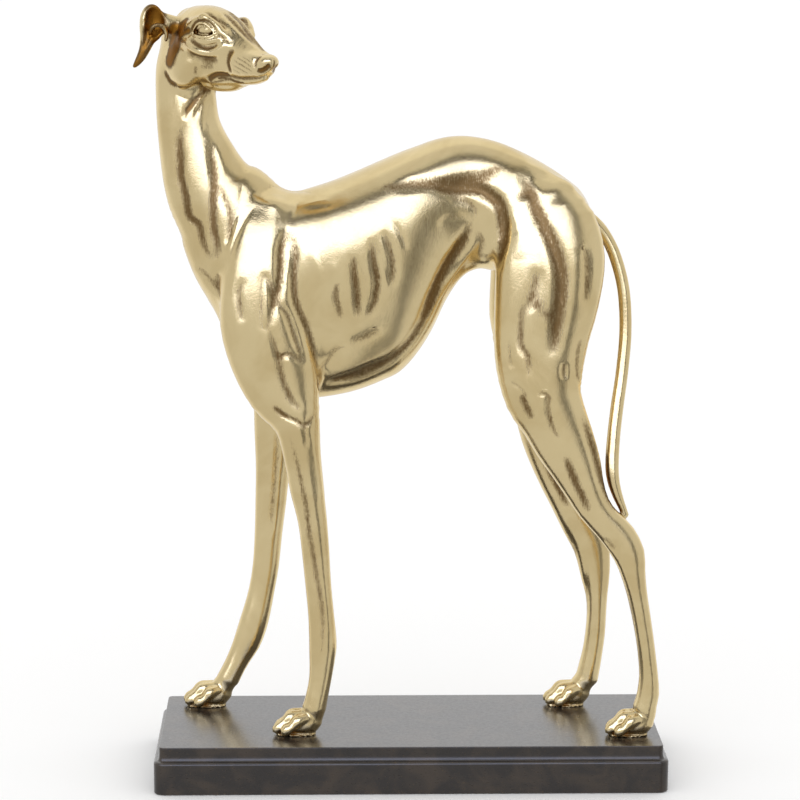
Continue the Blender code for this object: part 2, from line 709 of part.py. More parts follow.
def settle(field, p):
    """Moves each vertex along the field's slope onto the zero surface."""
    step = 0.8
    spread = np.array([[1, 1, 1], [1, -1, -1], [-1, 1, -1], [-1, -1, 1]], dtype=float)
    slope = np.zeros_like(p)
    value = np.zeros(len(p))
    for direction in spread:
        d = field(p + direction * step)
        slope += d[:, None] * direction
        value += d / 4
    slope /= 4 * step
    move = -(value / np.maximum((slope * slope).sum(1), 0.05))[:, None] * slope
    length = np.linalg.norm(move, axis=1, keepdims=True)
    moved = p + move * np.minimum(1, GRID_STEP / np.maximum(length, 1e-6))
    moved[:, 2] = np.maximum(moved[:, 2], 0)
    return moved


def material(name, colour, roughness, metallic):
    """A Principled material."""
    m = bpy.data.materials.new(name)
    m.use_nodes = True
    shader = m.node_tree.nodes['Principled BSDF']
    shader.inputs['Base Color'].default_value = colour
    shader.inputs['Roughness'].default_value = roughness
    shader.inputs['Metallic'].default_value = metallic
    return m


def add_object(name, vertices, faces, mat):
    """A mesh object from lists of vertices and faces."""
    mesh = bpy.data.meshes.new(name)
    mesh.from_pydata(vertices, [], faces)
    mesh.materials.append(mat)
    mesh.validate()
    obj = bpy.data.objects.new(name, mesh)
    bpy.context.collection.objects.link(obj)
    return obj


def greyhound(scale, shift, height):
    """The cast figure, reduced to its share of faces."""
    field = figure_field()
    vertices, faces = skin(field)
    vertices = settle(field, vertices) * scale + np.array([shift[0], shift[1], height])
    obj = add_object('greyhound', vertices.tolist(), faces.tolist(), material('gold', GOLD, 0.22, 1.0))
    reduce = obj.modifiers.new('reduce', 'DECIMATE')
    reduce.ratio = FIGURE_TRIANGLES / (2 * len(faces))
    return obj


def rounded_rectangle(length, depth, radius, z):
    """One ring of the plinth: straight sides joined by quarter circles."""
    ring = []
    steps = 6
    for corner, (sx, sy) in enumerate(((1, 1), (-1, 1), (-1, -1), (1, -1))):
        for i in range(steps + 1):
            turn = math.pi / 2 * (corner + i / steps)
            x = sx * (length / 2 - radius) + radius * math.cos(turn)
            y = sy * (depth / 2 - radius) + radius * math.sin(turn)
            ring.append((x, y, z))
    return ring


def plinth_profile():
    """The moulding from the foot up, as (outset from the top block, height)."""
    steps = 5
    points = []
    for i in range(steps + 1):
        turn = math.pi / 2 * i / steps
        points.append((SLAB_OUTSET - FOOT_EDGE_RADIUS * (1 - math.sin(turn)), FOOT_EDGE_RADIUS * (1 - math.cos(turn))))
    cove_top = PLINTH_HEIGHT - FILLET_HEIGHT
    cove_foot = cove_top - COVE_HEIGHT
    for i in range(steps + 1):
        turn = math.pi / 2 * i / steps
        points.append((SLAB_OUTSET - SHOULDER_RADIUS * (1 - math.cos(turn)),
                       cove_foot - SHOULDER_RADIUS * (1 - math.sin(turn))))
    run = SLAB_OUTSET - SHOULDER_RADIUS
    for i in range(1, steps + 1):
        turn = math.pi / 2 * i / steps
        points.append((run * (1 - math.sin(turn)), cove_foot + COVE_HEIGHT * (1 - math.cos(turn))))
    for i in range(steps + 1):
        turn = math.pi / 2 * i / steps
        points.append((-TOP_EDGE_RADIUS * (1 - math.cos(turn)), PLINTH_HEIGHT - TOP_EDGE_RADIUS * (1 - math.sin(turn))))
    return points


def plinth(length, depth):
    """The plinth: rings of the moulding joined side by side, closed above and below."""
    rings = []
    for outset, z in plinth_profile():
        rings.append(rounded_rectangle(length + 2 * outset, depth + 2 * outset, PLINTH_CORNER_RADIUS + outset, z))
    count = len(rings[0])
    vertices = [point for ring in rings for point in ring]
    faces = [list(range(count))[::-1], [len(vertices) - count + i for i in range(count)]]
    for level in range(len(rings) - 1):
        for i in range(count):
            a = level * count + i
            b = level * count + (i + 1) % count
            faces.append([a, b, b + count, a + count])
    return add_object('plinth', vertices, faces, material('bronze', BRONZE, 0.35, 0.6))


def main():
    """Clears the scene and builds both pieces around the plinth's underside centre."""
    for obj in list(bpy.data.objects):
        bpy.data.objects.remove(obj, do_unlink=True)
    scale = FIGURE_HEIGHT / HEIGHT_PARTS
    length = (PAW_REAR - PAW_FRONT) * scale + PLINTH_FRONT_MARGIN + PLINTH_REAR_MARGIN
    depth = (PAW_FAR - PAW_NEAR) * scale + PLINTH_NEAR_MARGIN + PLINTH_FAR_MARGIN
    shift_x = -length / 2 + PLINTH_FRONT_MARGIN - PAW_FRONT * scale
    shift_y = -depth / 2 + PLINTH_NEAR_MARGIN - PAW_NEAR * scale
    plinth(length, depth)
    greyhound(scale, (shift_x, shift_y), PLINTH_HEIGHT + SOLE_CLEARANCE)


main()
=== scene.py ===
"""Greyhound statue in gold leaf on a dark bronze plinth: the looks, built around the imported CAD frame."""

# %% [markdown]
# Loading the frame
#
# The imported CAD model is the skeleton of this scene: two solids, the greyhound and its plinth, in
# metres, with the origin at the centre of the plinth's underside. Everything visible is fitted to
# it. We keep the box of the plain model at once, because the finished one has to stay inside it.

import json
import math

import bpy
import numpy as np
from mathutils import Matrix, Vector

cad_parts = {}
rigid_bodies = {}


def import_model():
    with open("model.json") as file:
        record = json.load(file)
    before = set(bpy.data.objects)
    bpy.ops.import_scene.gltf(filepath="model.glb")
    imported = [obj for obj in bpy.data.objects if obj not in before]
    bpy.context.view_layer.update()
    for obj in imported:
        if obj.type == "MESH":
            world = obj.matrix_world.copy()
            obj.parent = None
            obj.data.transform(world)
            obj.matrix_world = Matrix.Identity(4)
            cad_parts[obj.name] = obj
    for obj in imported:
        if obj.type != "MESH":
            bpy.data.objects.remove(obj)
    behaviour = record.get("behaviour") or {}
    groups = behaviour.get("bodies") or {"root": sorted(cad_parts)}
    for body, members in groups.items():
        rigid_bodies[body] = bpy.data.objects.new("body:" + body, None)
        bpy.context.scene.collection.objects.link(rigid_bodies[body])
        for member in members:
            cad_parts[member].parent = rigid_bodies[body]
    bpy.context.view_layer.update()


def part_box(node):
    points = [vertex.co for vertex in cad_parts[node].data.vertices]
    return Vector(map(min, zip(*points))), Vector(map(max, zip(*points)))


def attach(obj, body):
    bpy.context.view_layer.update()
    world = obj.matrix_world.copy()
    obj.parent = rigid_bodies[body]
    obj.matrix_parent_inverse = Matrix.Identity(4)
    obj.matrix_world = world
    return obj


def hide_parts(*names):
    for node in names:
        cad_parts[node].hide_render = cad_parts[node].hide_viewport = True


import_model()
figure_low, figure_high = [np.array(corner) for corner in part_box("greyhound")]
plinth_low, plinth_high = [np.array(corner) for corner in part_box("plinth")]
print("figure", figure_low, figure_high)
print("plinth", plinth_low, plinth_high)

# %% [markdown]
# Camera
#
# The photograph is taken from a little above, square on to the side that the hound looks to. The
# lens is long, so the two ends of the plinth keep nearly the same height. Place, turn and lens were
# worked out from the plinth's corners in the picture, which is 800 by 800 points.

# %% Camera
SENSOR = 36.0
FOCAL_POINTS = 2669.66
PICTURE_POINTS = 800
CAMERA_PLACE = (-0.0868179, -2.6184259, 0.8738748)
CAMERA_YAW = 0.0290051
CAMERA_PITCH = 0.1863683
CAMERA_ROLL = 0.0044230


def camera_axes(yaw, pitch, roll):
    """Forward, right and up of a camera turned by yaw about z, tipped down by pitch and then rolled."""
    forward = np.array([math.sin(yaw) * math.cos(pitch), math.cos(yaw) * math.cos(pitch), -math.sin(pitch)])
    right = np.array([math.cos(yaw), -math.sin(yaw), 0.0])
    up = np.cross(right, forward)
    return forward, right * math.cos(roll) + up * math.sin(roll), up * math.cos(roll) - right * math.sin(roll)


forward, right, up = camera_axes(CAMERA_YAW, CAMERA_PITCH, CAMERA_ROLL)
lens = bpy.data.cameras.new("camera")
lens.lens = FOCAL_POINTS * SENSOR / PICTURE_POINTS
lens.sensor_width = SENSOR
lens.clip_end = 200
camera = bpy.data.objects.new("camera", lens)
bpy.context.collection.objects.link(camera)
matrix = np.eye(4)
matrix[:3, 0], matrix[:3, 1], matrix[:3, 2], matrix[:3, 3] = right, up, -forward, CAMERA_PLACE
camera.matrix_world = matrix.T.tolist()
bpy.context.scene.camera = camera
print("lens", round(lens.lens, 2), "mm")

# %% [markdown]
# Floor
#
# A pale floor, large enough to fill the picture. Polished metal would mirror its edge as a hard
# line, so mirrored rays pass through it to the room of the next step.

# %% Floor
def link_mesh(name, vertices, faces):
    """A mesh object made from arrays of points and of faces with the same number of corners."""
    mesh = bpy.data.meshes.new(name)
    corners = faces.shape[1]
    mesh.vertices.add(len(vertices))
    mesh.vertices.foreach_set("co", vertices.astype(np.float32).ravel())
    mesh.loops.add(faces.size)
    mesh.loops.foreach_set("vertex_index", faces.astype(np.int32).ravel())
    mesh.polygons.add(len(faces))
    mesh.polygons.foreach_set("loop_start", np.arange(0, faces.size, corners, dtype=np.int32))
    mesh.update(calc_edges=True)
    mesh.shade_smooth()
    obj = bpy.data.objects.new(name, mesh)
    bpy.context.collection.objects.link(obj)
    return obj


FLOOR_REACH = 60.0
FLOOR_DROP = 0.0003
FLOOR_TONE = (0.97, 0.97, 0.97, 1.0)
square = np.array([[-1, -1, 0], [1, -1, 0], [1, 1, 0], [-1, 1, 0]]) * FLOOR_REACH
floor = link_mesh("floor", square - [0, 0, FLOOR_DROP], np.array([[0, 1, 2, 3]]))
paper = bpy.data.materials.new("paper")
paper.use_nodes = True
paper.node_tree.nodes["Principled BSDF"].inputs["Base Color"].default_value = FLOOR_TONE
paper.node_tree.nodes["Principled BSDF"].inputs["Roughness"].default_value = 0.9
paper.node_tree.nodes["Principled BSDF"].inputs["Specular IOR Level"].default_value = 0.0
floor.data.materials.append(paper)

# %% [markdown]
# Studio light
#
# Polished metal has hardly a colour of its own: what we see in it is the room. The photograph was
# lit by one large soft panel beside the camera, with a dark gap to the right of it and above it, in
# a pale room. The dark streaks along the hound's flank and thigh are the gaps. We draw that
# room in the world's shader with a few smooth steps of azimuth and elevation, which costs no
# geometry and keeps still when the camera moves. Only mirrored rays see the panel and the gaps;
# everything else is lit by one even tone, so the floor and the backdrop stay clean.

# %% Studio light
def node(tree, kind, **values):
    """A new node of that kind with the values of its plain properties and named sockets."""
    new = tree.nodes.new(kind)
    for name, value in values.items():
        if name in new.bl_rna.properties:
            setattr(new, name, value)
        else:
            new.inputs[name.replace("_", " ")].default_value = value
    return new


def feed(tree, target, socket, source):
    """Puts a number into a socket, or a link where the source is an output."""
    if isinstance(source, bpy.types.NodeSocket):
        tree.links.new(source, target.inputs[socket])
    else:
        target.inputs[socket].default_value = source


def calc(tree, operation, a, b=0.0):
    """The output of a math node on two numbers or outputs."""
    new = node(tree, "ShaderNodeMath", operation=operation)
    feed(tree, new, 0, a)
    feed(tree, new, 1, b)
    return new.outputs[0]


def ramp(tree, value, low, high, out_low=0.0, out_high=1.0):
    """A smooth step from out_low at low to out_high at high."""
    new = node(tree, "ShaderNodeMapRange", interpolation_type="SMOOTHSTEP")
    for socket, number in ((0, value), (1, low), (2, high), (3, out_low), (4, out_high)):
        feed(tree, new, socket, number)
    return new.outputs[0]


def blend(tree, share, a, b):
    """a where share is 0 and b where it is 1."""
    new = node(tree, "ShaderNodeMix", data_type="FLOAT")
    for socket, number in ((0, share), (2, a), (3, b)):
        feed(tree, new, socket, number)
    return new.outputs[0]


def tint(tree, share, a, b):
    """Colour a where share is 0, colour b where it is 1."""
    new = node(tree, "ShaderNodeMix", data_type="RGBA")
    feed(tree, new, 0, share)
    feed(tree, new, 6, a)
    feed(tree, new, 7, b)
    return new.outputs[2]


# Strength of the panel, of the room about it and behind, of the upper and side gap, and of all
# the light that isn't mirrored
PANEL = 3.0
ROOM = 0.86
BACKDROP = 1.15
GAP = 0.08
SIDE_GAP = 0.22
AMBIENT = 1.32
# Colour of the panel and of the rest of the room
DAYLIGHT = (0.76, 0.82, 1.06, 1.0)
HAZE = (0.80, 0.80, 0.80, 1.0)
world = bpy.data.worlds.new("studio")
bpy.context.scene.world = world
world.use_nodes = True
sky = world.node_tree
sky.nodes.clear()
place = node(sky, "ShaderNodeSeparateXYZ")
sky.links.new(node(sky, "ShaderNodeTexCoord").outputs["Generated"], place.inputs[0])
x, y, z = place.outputs
azimuth = calc(sky, "MULTIPLY", calc(sky, "ARCTAN2", x, calc(sky, "MULTIPLY", y, -1.0)), 180 / math.pi)
elevation = calc(sky, "MULTIPLY", calc(sky, "ARCSINE", z), 180 / math.pi)


def window(left, right, low, high, soft):
    """1 inside a window of azimuth and elevation, falling to 0 over soft degrees outside it."""
    rising = ramp(sky, azimuth, left - soft, left), ramp(sky, elevation, low - soft, low)
    fading = ramp(sky, azimuth, right, right + soft, 1, 0), ramp(sky, elevation, high, high + soft, 1, 0)
    return calc(sky, "MULTIPLY", calc(sky, "MULTIPLY", *rising), calc(sky, "MULTIPLY", *fading))


behind = ramp(sky, calc(sky, "ABSOLUTE", azimuth), 100, 130, ROOM, BACKDROP)
tone = blend(sky, window(-70, 42, 24, 54, 8), behind, GAP)
tone = blend(sky, window(31, 42, -80, 62, 4), tone, SIDE_GAP)
panel = window(-52, 24, 10, 40, 6)
tone = blend(sky, panel, tone, PANEL)
mirrored = node(sky, "ShaderNodeLightPath").outputs["Is Glossy Ray"]
tone = blend(sky, mirrored, AMBIENT, tone)
light = node(sky, "ShaderNodeBackground")
cool = calc(sky, "MULTIPLY", panel, mirrored)
feed(sky, light, "Color", tint(sky, cool, HAZE, DAYLIGHT))
sky.links.new(tone, light.inputs["Strength"])
sky.links.new(light.outputs[0], node(sky, "ShaderNodeOutputWorld").inputs[0])
floor.visible_glossy = False
bpy.context.scene.view_settings.view_transform = "Standard"
print("studio has", len(sky.nodes), "nodes")

# %% [markdown]
# Solids that melt together
#
# A branching, turning body is no surface of two parameters, so the figure is made the way a
# sculptor works in clay: rough masses are pressed onto each other and their seams are smoothed.
# In numbers, each mass is a signed distance, below zero inside. A limb is a tube with elliptic
# sections swept along a smooth line of stations, a ball is an ellipsoid, and the trunk is a row of
# upright sections. Two masses melt with a polynomial minimum, which rounds the seam.

# %% Lines and melting
def unit_rows(v):
    """Each row of v scaled to length one."""
    return v / np.maximum(np.linalg.norm(v, axis=-1, keepdims=True), 1e-9)


def smooth_line(rows, step):
    """Points about one step apart on the Catmull-Rom curve through the rows."""
    r = np.array(rows, dtype=float)
    ends = np.vstack([2 * r[0] - r[1], r, 2 * r[-1] - r[-2]])
    out = []
    for i in range(1, len(ends) - 2):
        a, b, c, d = ends[i - 1:i + 3]
        count = max(2, int(np.ceil(np.linalg.norm(c[:3] - b[:3]) / step)))
        t = np.linspace(0, 1, count, endpoint=False)[:, None]
        linear = (c - a) * t
        square = (2 * a - 5 * b + 4 * c - d) * t ** 2
        cube = (3 * b - a - 3 * c + d) * t ** 3
        out.append(0.5 * (2 * b + linear + square + cube))
    out.append(r[-1:])
    return np.vstack(out)


def nearest(p, line):
    """For each point: the place along the line that is nearest, and its squared distance."""
    middle = line.mean(0)
    c = line - middle
    j = ((c * c).sum(1)[None] - 2 * ((p - middle) @ c.T)).argmin(1)
    last = len(c) - 2
    best = np.full(len(p), np.inf)
    place = np.zeros(len(p))
    for i in (np.clip(j - 1, 0, last), np.clip(j, 0, last)):
        step = line[i + 1] - line[i]
        q = p - line[i]
        h = np.clip((q * step).sum(1) / (step * step).sum(1), 0, 1)
        q = q - h[:, None] * step
        r = (q * q).sum(1)
        place = np.where(r < best, i + h, place)
        best = np.minimum(r, best)
    return place, best


def melt(a, b, k):
    """Union of two distances: b and a mixed by the share h, less k h (1 - h), so the seam is soft."""
    h = np.clip(0.5 + 0.5 * (b - a) / k, 0, 1)
    return b * (1 - h) + a * h - k * h * (1 - h)


def stations(rows, side=None):
    """Turns edge-to-edge rows into middle, half depth and half thickness."""
    out = []
    for front_x, front_z, back_x, back_z, y, thick in rows:
        half = math.hypot(front_x - back_x, front_z - back_z) / 2
        middle_y = y if side is None else y * side
        out.append(((front_x + back_x) / 2, middle_y, (front_z + back_z) / 2, half, thick))
    return out


print("where two solids are both 2 away, a seam of 4 leaves", melt(np.array([2.0]), np.array([2.0]), 4.0))

# %% Tubes
# How far past its seam a solid is still felt, the thinnest a tube gets, and the trunk's thinnest end
FELT = 14.0
THINNEST = 0.3
NEEDLE = 0.4


class Tube:
    """A body with elliptic sections swept along a line: rows of x, y, z, half depth, half thickness."""

    def __init__(self, rows, seam, side=(0, 1, 0), power=2.0, caps=(5.0, 5.0), cut=False, step=12.0):
        widest = max(max(r[3], r[4]) for r in rows)
        full = [tuple(r) + (0.0,) * (6 - len(r)) for r in rows]
        self.line = smooth_line(full, min(step, max(2.0, widest * 0.3)))
        self.line[:, 3:5] = np.maximum(self.line[:, 3:5], THINNEST)
        self.seam = seam
        self.power = power
        self.caps = caps
        self.cut = cut
        centre = self.line[:, :3]
        self.along = unit_rows(np.gradient(centre, axis=0))
        across = np.array(side, dtype=float)
        self.aside = unit_rows(across - (self.along @ across)[:, None] * self.along)
        self.depth = np.cross(self.along, self.aside)
        reach = self.line[:, 3:5].max(1)[:, None] + seam + FELT
        reach[0] += caps[0]
        reach[-1] += caps[1]
        self.low = (centre - reach).min(0)
        self.high = (centre + reach).max(0)

    def distance(self, p):
        """Section size less one, times size over slope: near the surface, the true distance."""
        place, _ = nearest(p, self.line[:, :3])
        i = np.minimum(place.astype(int), len(self.line) - 2)
        f = (place - i)[:, None]

        def mix(values):
            """Rows of values at each point's place along the line."""
            return values[i] * (1 - f) + values[i + 1] * f

        row = mix(self.line)
        q = p - row[:, :3]
        half = row[:, 3]
        u = (q * mix(self.depth)).sum(1) / half
        thick = row[:, 4] * (1 - row[:, 5] * np.clip(u, -1, 1))
        v = (q * mix(self.aside)).sum(1) / thick
        cap = np.where(place < 0.5 * (len(self.line) - 1), self.caps[0], self.caps[1])
        beyond = (place <= 0) | (place >= len(self.line) - 1)
        w = np.where(beyond, (q * mix(self.along)).sum(1), 0) / cap
        size = (np.abs(u) ** self.power + np.abs(v) ** self.power + np.abs(w) ** self.power + 1e-6)
        size = size ** (1 / self.power)
        round_size = np.sqrt(u * u + v * v + w * w + 1e-6)
        slope = np.sqrt((u / half) ** 2 + (v / thick) ** 2 + (w / cap) ** 2 + 1e-9)
        return (size - 1) * round_size / slope


rod = Tube([(0, 0, 0, 5, 5), (0, 0, 50, 5, 5)], 1.0)
print("a rod of radius 5, felt 9 from its line:", rod.distance(np.array([[9.0, 0, 25]])).round(2))

# %% Balls
class Ball:
    """An ellipsoid: centre and the three half axes."""

    def __init__(self, centre, half, seam, cut=False):
        self.centre = np.array(centre, dtype=float)
        self.half = np.array(half, dtype=float)
        self.seam = seam
        self.cut = cut
        reach = self.half.max() + seam + FELT
        self.low = self.centre - reach
        self.high = self.centre + reach

    def distance(self, p):
        """The scaled radius less one, divided by how fast it grows."""
        q = (p - self.centre) / self.half
        size = np.sqrt((q * q).sum(1) + 1e-6)
        slope = np.sqrt(((q / self.half) ** 2).sum(1) + 1e-9)
        return (size - 1) * size / slope


marble = Ball((0, 0, 0), (5, 5, 5), 1)
print("a ball of radius 5, felt 9 from its middle:", marble.distance(np.array([[9.0, 0, 0]])).round(2))

# %% The trunk
class Trunk:
    """A body of upright sections along x: rows of x, top, bottom, half width and belly share."""

    cut = False

    def __init__(self, rows, seam, power, caps):
        r = np.array(rows, dtype=float)
        self.seam = seam
        self.power = power
        self.x = np.linspace(r[0, 0], r[-1, 0], 400)
        top, bottom, width, self.belly = [self.through(r[:, 0], r[:, j]) for j in range(1, 5)]
        first = np.minimum(1, (self.x - self.x[0]) / caps[0])
        last = np.minimum(1, (self.x[-1] - self.x) / caps[1])
        end = np.sqrt(np.clip(1 - (1 - first) ** 2, 0, 1)) * np.sqrt(np.clip(1 - (1 - last) ** 2, 0, 1))
        self.middle = (top + bottom) / 2
        self.half = (top - bottom) / 2 * end + NEEDLE
        self.width = width * end + NEEDLE
        reach = FELT + seam
        self.low = np.array([self.x[0] - reach, -self.width.max() - reach, bottom.min() - reach])
        self.high = np.array([self.x[-1] + reach, self.width.max() + reach, top.max() + reach])

    def through(self, xs, ys):
        """The smooth curve through (xs, ys), read at every self.x."""
        slope = np.gradient(ys, xs)
        i = np.clip(np.searchsorted(xs, self.x) - 1, 0, len(xs) - 2)
        h = xs[i + 1] - xs[i]
        t = (self.x - xs[i]) / h
        start = (2 * t ** 3 - 3 * t ** 2 + 1) * ys[i] + (t ** 3 - 2 * t ** 2 + t) * h * slope[i]
        return start + (3 * t ** 2 - 2 * t ** 3) * ys[i + 1] + (t ** 3 - t ** 2) * h * slope[i + 1]

    def size(self, x, y, z):
        """1 on the surface: the power sum of height and width, each as a share of the section's."""
        u = (z - np.interp(x, self.x, self.middle)) / np.interp(x, self.x, self.half)
        wide = np.interp(x, self.x, self.width) * (1 - np.interp(x, self.x, self.belly) * np.clip(u, -1, 1))
        beyond = np.maximum(np.maximum(self.x[0] - x, x - self.x[-1]), 0)
        round_sum = np.abs(u) ** self.power + np.abs(y / wide) ** self.power + 1e-6
        return round_sum ** (1 / self.power) + beyond / NEEDLE

    def distance(self, p):
        """The size less one over its slope, which is measured by small steps along each axis."""
        x, y, z = p[:, 0], p[:, 1], p[:, 2]
        s = 0.5
        size = self.size(x, y, z)
        slope_x = (self.size(x + s, y, z) - self.size(x - s, y, z)) / (2 * s)
        slope_y = (self.size(x, y + s, z) - size) / s
        slope_z = (self.size(x, y, z + s) - size) / s
        upright = slope_y ** 2 + slope_z ** 2
        slope = np.sqrt(np.minimum(slope_x ** 2, 2 * upright) + upright)
        return (size - 1) / np.maximum(slope, 0.004)

# %% [markdown]
# Carving
#
# Folds, ribs, tendons and the edges of muscles are carved afterwards. Each is a line with a width
# and a depth: the depth, faded by a bell curve of the distance from the line, is added to the
# distance field, so a positive depth cuts a groove and a negative one raises a ridge.

# %% Carved lines
FAR_AWAY = 200.0
# A line is felt as far as this many of its widths, and one from the side stops before the middle
LINE_FELT = 3.2
MIDDLE_GAP = 2.0
SIDE_FADE = 8.0


class Line:
    """A carved line. A line of (x, z) cuts straight in from the side, one of (x, y, z) lies in space."""

    def __init__(self, width, depth, points, side=0):
        self.flat = len(points[0]) == 2
        if self.flat:
            points = [(x, 0.0, z) for x, z in points]
        self.line = smooth_line(points, max(2.0, width))
        self.width = width
        self.deep = depth
        self.reach()
        if self.flat:
            self.low[1] = MIDDLE_GAP if side > 0 else -FAR_AWAY
            self.high[1] = -MIDDLE_GAP if side < 0 else FAR_AWAY

    def reach(self):
        """Sets the box in which the line is felt."""
        self.low = self.line.min(0) - LINE_FELT * self.width
        self.high = self.line.max(0) + LINE_FELT * self.width

    def lay(self, field):
        """Moves the line onto the surface of a field."""
        for _ in range(4):
            self.line = settle(field, self.line)
        self.reach()

    def depth(self, p):
        """The line's depth times a bell curve of the distance from it, fading out to its two ends."""
        q = p.copy()
        if self.flat:
            q[:, 1] = 0
        place, squared = nearest(q, self.line)
        t = 2 * place / (len(self.line) - 1) - 1
        fade = 1 - t ** 4
        if self.flat:
            fade = fade * np.clip(np.abs(p[:, 1]) / SIDE_FADE, 0, 1)
        return self.deep * fade * np.exp(-squared / (2 * self.width ** 2))


def inside(p, low, high):
    """Index of the points that lie in a box."""
    return np.nonzero(np.all((p > low) & (p < high), axis=1))[0]


def carve(p, solids, lines):
    """Distance to the melted solids, with the carved lines added."""
    d = np.full(len(p), FAR_AWAY)
    for solid in solids:
        m = inside(p, solid.low, solid.high)
        if len(m) == 0:
            continue
        if solid.cut:
            d[m] = -melt(-d[m], solid.distance(p[m]), solid.seam)
        else:
            d[m] = melt(d[m], solid.distance(p[m]), solid.seam)
    for line in lines:
        m = inside(p, line.low, line.high)
        if len(m):
            d[m] += line.depth(p[m])
    return d

def cut_depth(p, lines):
    """How deep all the grooves cut at each point."""
    total = np.zeros(len(p))
    for line in lines:
        if line.deep > 0:
            m = inside(p, line.low, line.high)
            total[m] += line.depth(p[m])
    return total

# %% [markdown]
# The hound's stations
#
# All numbers below are shares of the figure's height, counted in 723.2 parts from the soles up:
# x runs to the tail, y away from the camera and z up. They were read off the photograph along each
# limb's own plane. A row gives the two edges of a limb as the side view shows them, then the
# middle plane and the half thickness.

# %% Body stations
HEIGHT_PARTS = 723.2

# Trunk sections: x, top z, bottom z, half width, how much the belly is wider than the back
TRUNK = [
    (-186, 470, 396, 22, 0),
    (-170, 500, 362, 34, -0.05),
    (-150, 520, 344, 42, -0.1),
    (-130, 535, 337, 48, -0.14),
    (-105, 543, 335.5, 53, -0.18),
    (-80, 551, 338, 56, -0.2),
    (-55, 561, 343.5, 57.5, -0.2),
    (-30, 572, 353, 56.5, -0.2),
    (-10, 580.5, 363.5, 54, -0.18),
    (5, 586, 380, 50.5, -0.16),
    (20, 591.5, 404, 46, -0.12),
    (35, 595, 436, 41, -0.08),
    (50, 596, 457.5, 37.5, -0.02),
    (65, 594.5, 465.5, 36, 0),
    (84, 590, 463, 38, 0),
    (105, 581.5, 463, 41, 0),
    (130, 568.5, 468, 39, 0),
    (155, 552, 482, 32, 0),
    (178, 533, 500, 20, 0),
]

# Limb and neck stations, each by its two edges seen from the side:
# front x, front z, back x, back z, middle y, half thickness
NECK = [
    (-243.5, 690, -202, 684, 5, 18),
    (-249.5, 668, -196, 661, 3, 22.5),
    (-250.5, 640, -192.5, 634, 3, 22.5),
    (-249.6, 605, -187.5, 605, 2, 24),
    (-247.5, 572, -173, 576, 1, 27),
    (-242.5, 537, -154, 552, 0, 31),
    (-231, 500, -130, 541, 0, 36),
    (-213, 455, -108, 520, 0, 41),
    (-194, 422, -88, 492, 0, 41),
    (-180, 392, -72, 470, 0, 36),
]
SHOULDER = [
    (-156, 520, -122, 528, 26, 13),
    (-172, 493, -118, 503, 32, 19),
    (-184, 455, -115, 470, 36, 24),
    (-188, 413, -106, 425, 38, 26.5),
    (-177, 374, -93, 385, 39, 25),
    (-160, 342, -89, 352, 41, 21.5),
]
NEAR_FORELEG = [
    (-135, 311, -91, 322, -43, 18),
    (-126.4, 281.6, -89.9, 286.5, -43, 15.5),
    (-120.5, 252, -87, 252, -43, 13.5),
    (-112.6, 222.6, -84, 217.6, -43, 12),
    (-109, 190, -81.6, 190, -43, 11),
    (-105.5, 155, -79.7, 155, -43, 10.5),
    (-102.7, 124, -76.9, 124, -43, 11),
    (-101.8, 97, -74.2, 97, -43, 12.8),
    (-101.8, 84, -74.8, 85, -43, 12.6),
    (-101.5, 68, -77.3, 70, -43, 11),
    (-102.2, 55, -79.8, 55, -43, 10.6),
    (-104.5, 43, -82.2, 42, -43, 11.5),
    (-107.5, 31, -84.5, 28, -43, 12),
]
FAR_FORELEG = [
    (-157.5, 308, -108, 320, 44, 18),
    (-157.2, 280, -115, 285, 47, 15.5),
    (-156.4, 251, -121.5, 250, 50, 13.5),
    (-157.2, 215, -125.6, 215, 52, 12),
    (-158, 185, -129.5, 185, 53, 11),
    (-160.2, 150, -133.2, 150, 54, 10.5),
    (-164.6, 123, -138, 122, 55, 11),
    (-170, 103, -141.6, 102, 55, 12.4),
    (-175.5, 86, -146, 83, 55, 12.8),
    (-180.5, 70, -152.5, 66, 55, 11.8),
    (-185.5, 56, -161, 53, 55, 11),
    (-190.8, 43, -167.8, 42, 55, 11.5),
    (-197, 32, -174, 28, 55, 12),
]
THIGH = [
    (86, 533, 160, 528, 25, 19),
    (82, 512, 179, 508, 30, 24),
    (81.5, 480, 188, 478, 33, 27),
    (80, 440, 183, 440, 36, 27.5),
    (79.5, 405, 174, 405, 38, 26),
]
NEAR_HIND_LEG = [
    (82, 377, 168.5, 372, -41, 24),
    (91, 350, 167, 342, -44, 21.5),
    (107, 323, 172.5, 320, -46, 18.5),
    (119, 302, 180, 300, -47, 16.5),
    (134, 278, 187, 279, -48, 15),
    (149, 256, 192, 255, -49, 13.5),
    (162, 235, 198, 236, -49.5, 12.5),
    (177, 215, 208.5, 222, -50, 11.8),
    (191, 196, 221, 211, -50, 11.5),
    (201, 179, 229.5, 194, -50, 11.8),
    (207.5, 163, 231.4, 174, -50, 12),
    (212.5, 147, 234, 152, -50, 11.4),
    (218, 125, 238, 127, -50, 10.6),
    (223, 101, 242, 102, -50, 10.2),
    (226, 80, 245, 81, -50, 10.2),
    (228, 60, 247.5, 62, -50, 10.6),
    (227, 42, 249, 44, -50, 11.8),
    (223.5, 30, 246.5, 29, -50, 12),
]
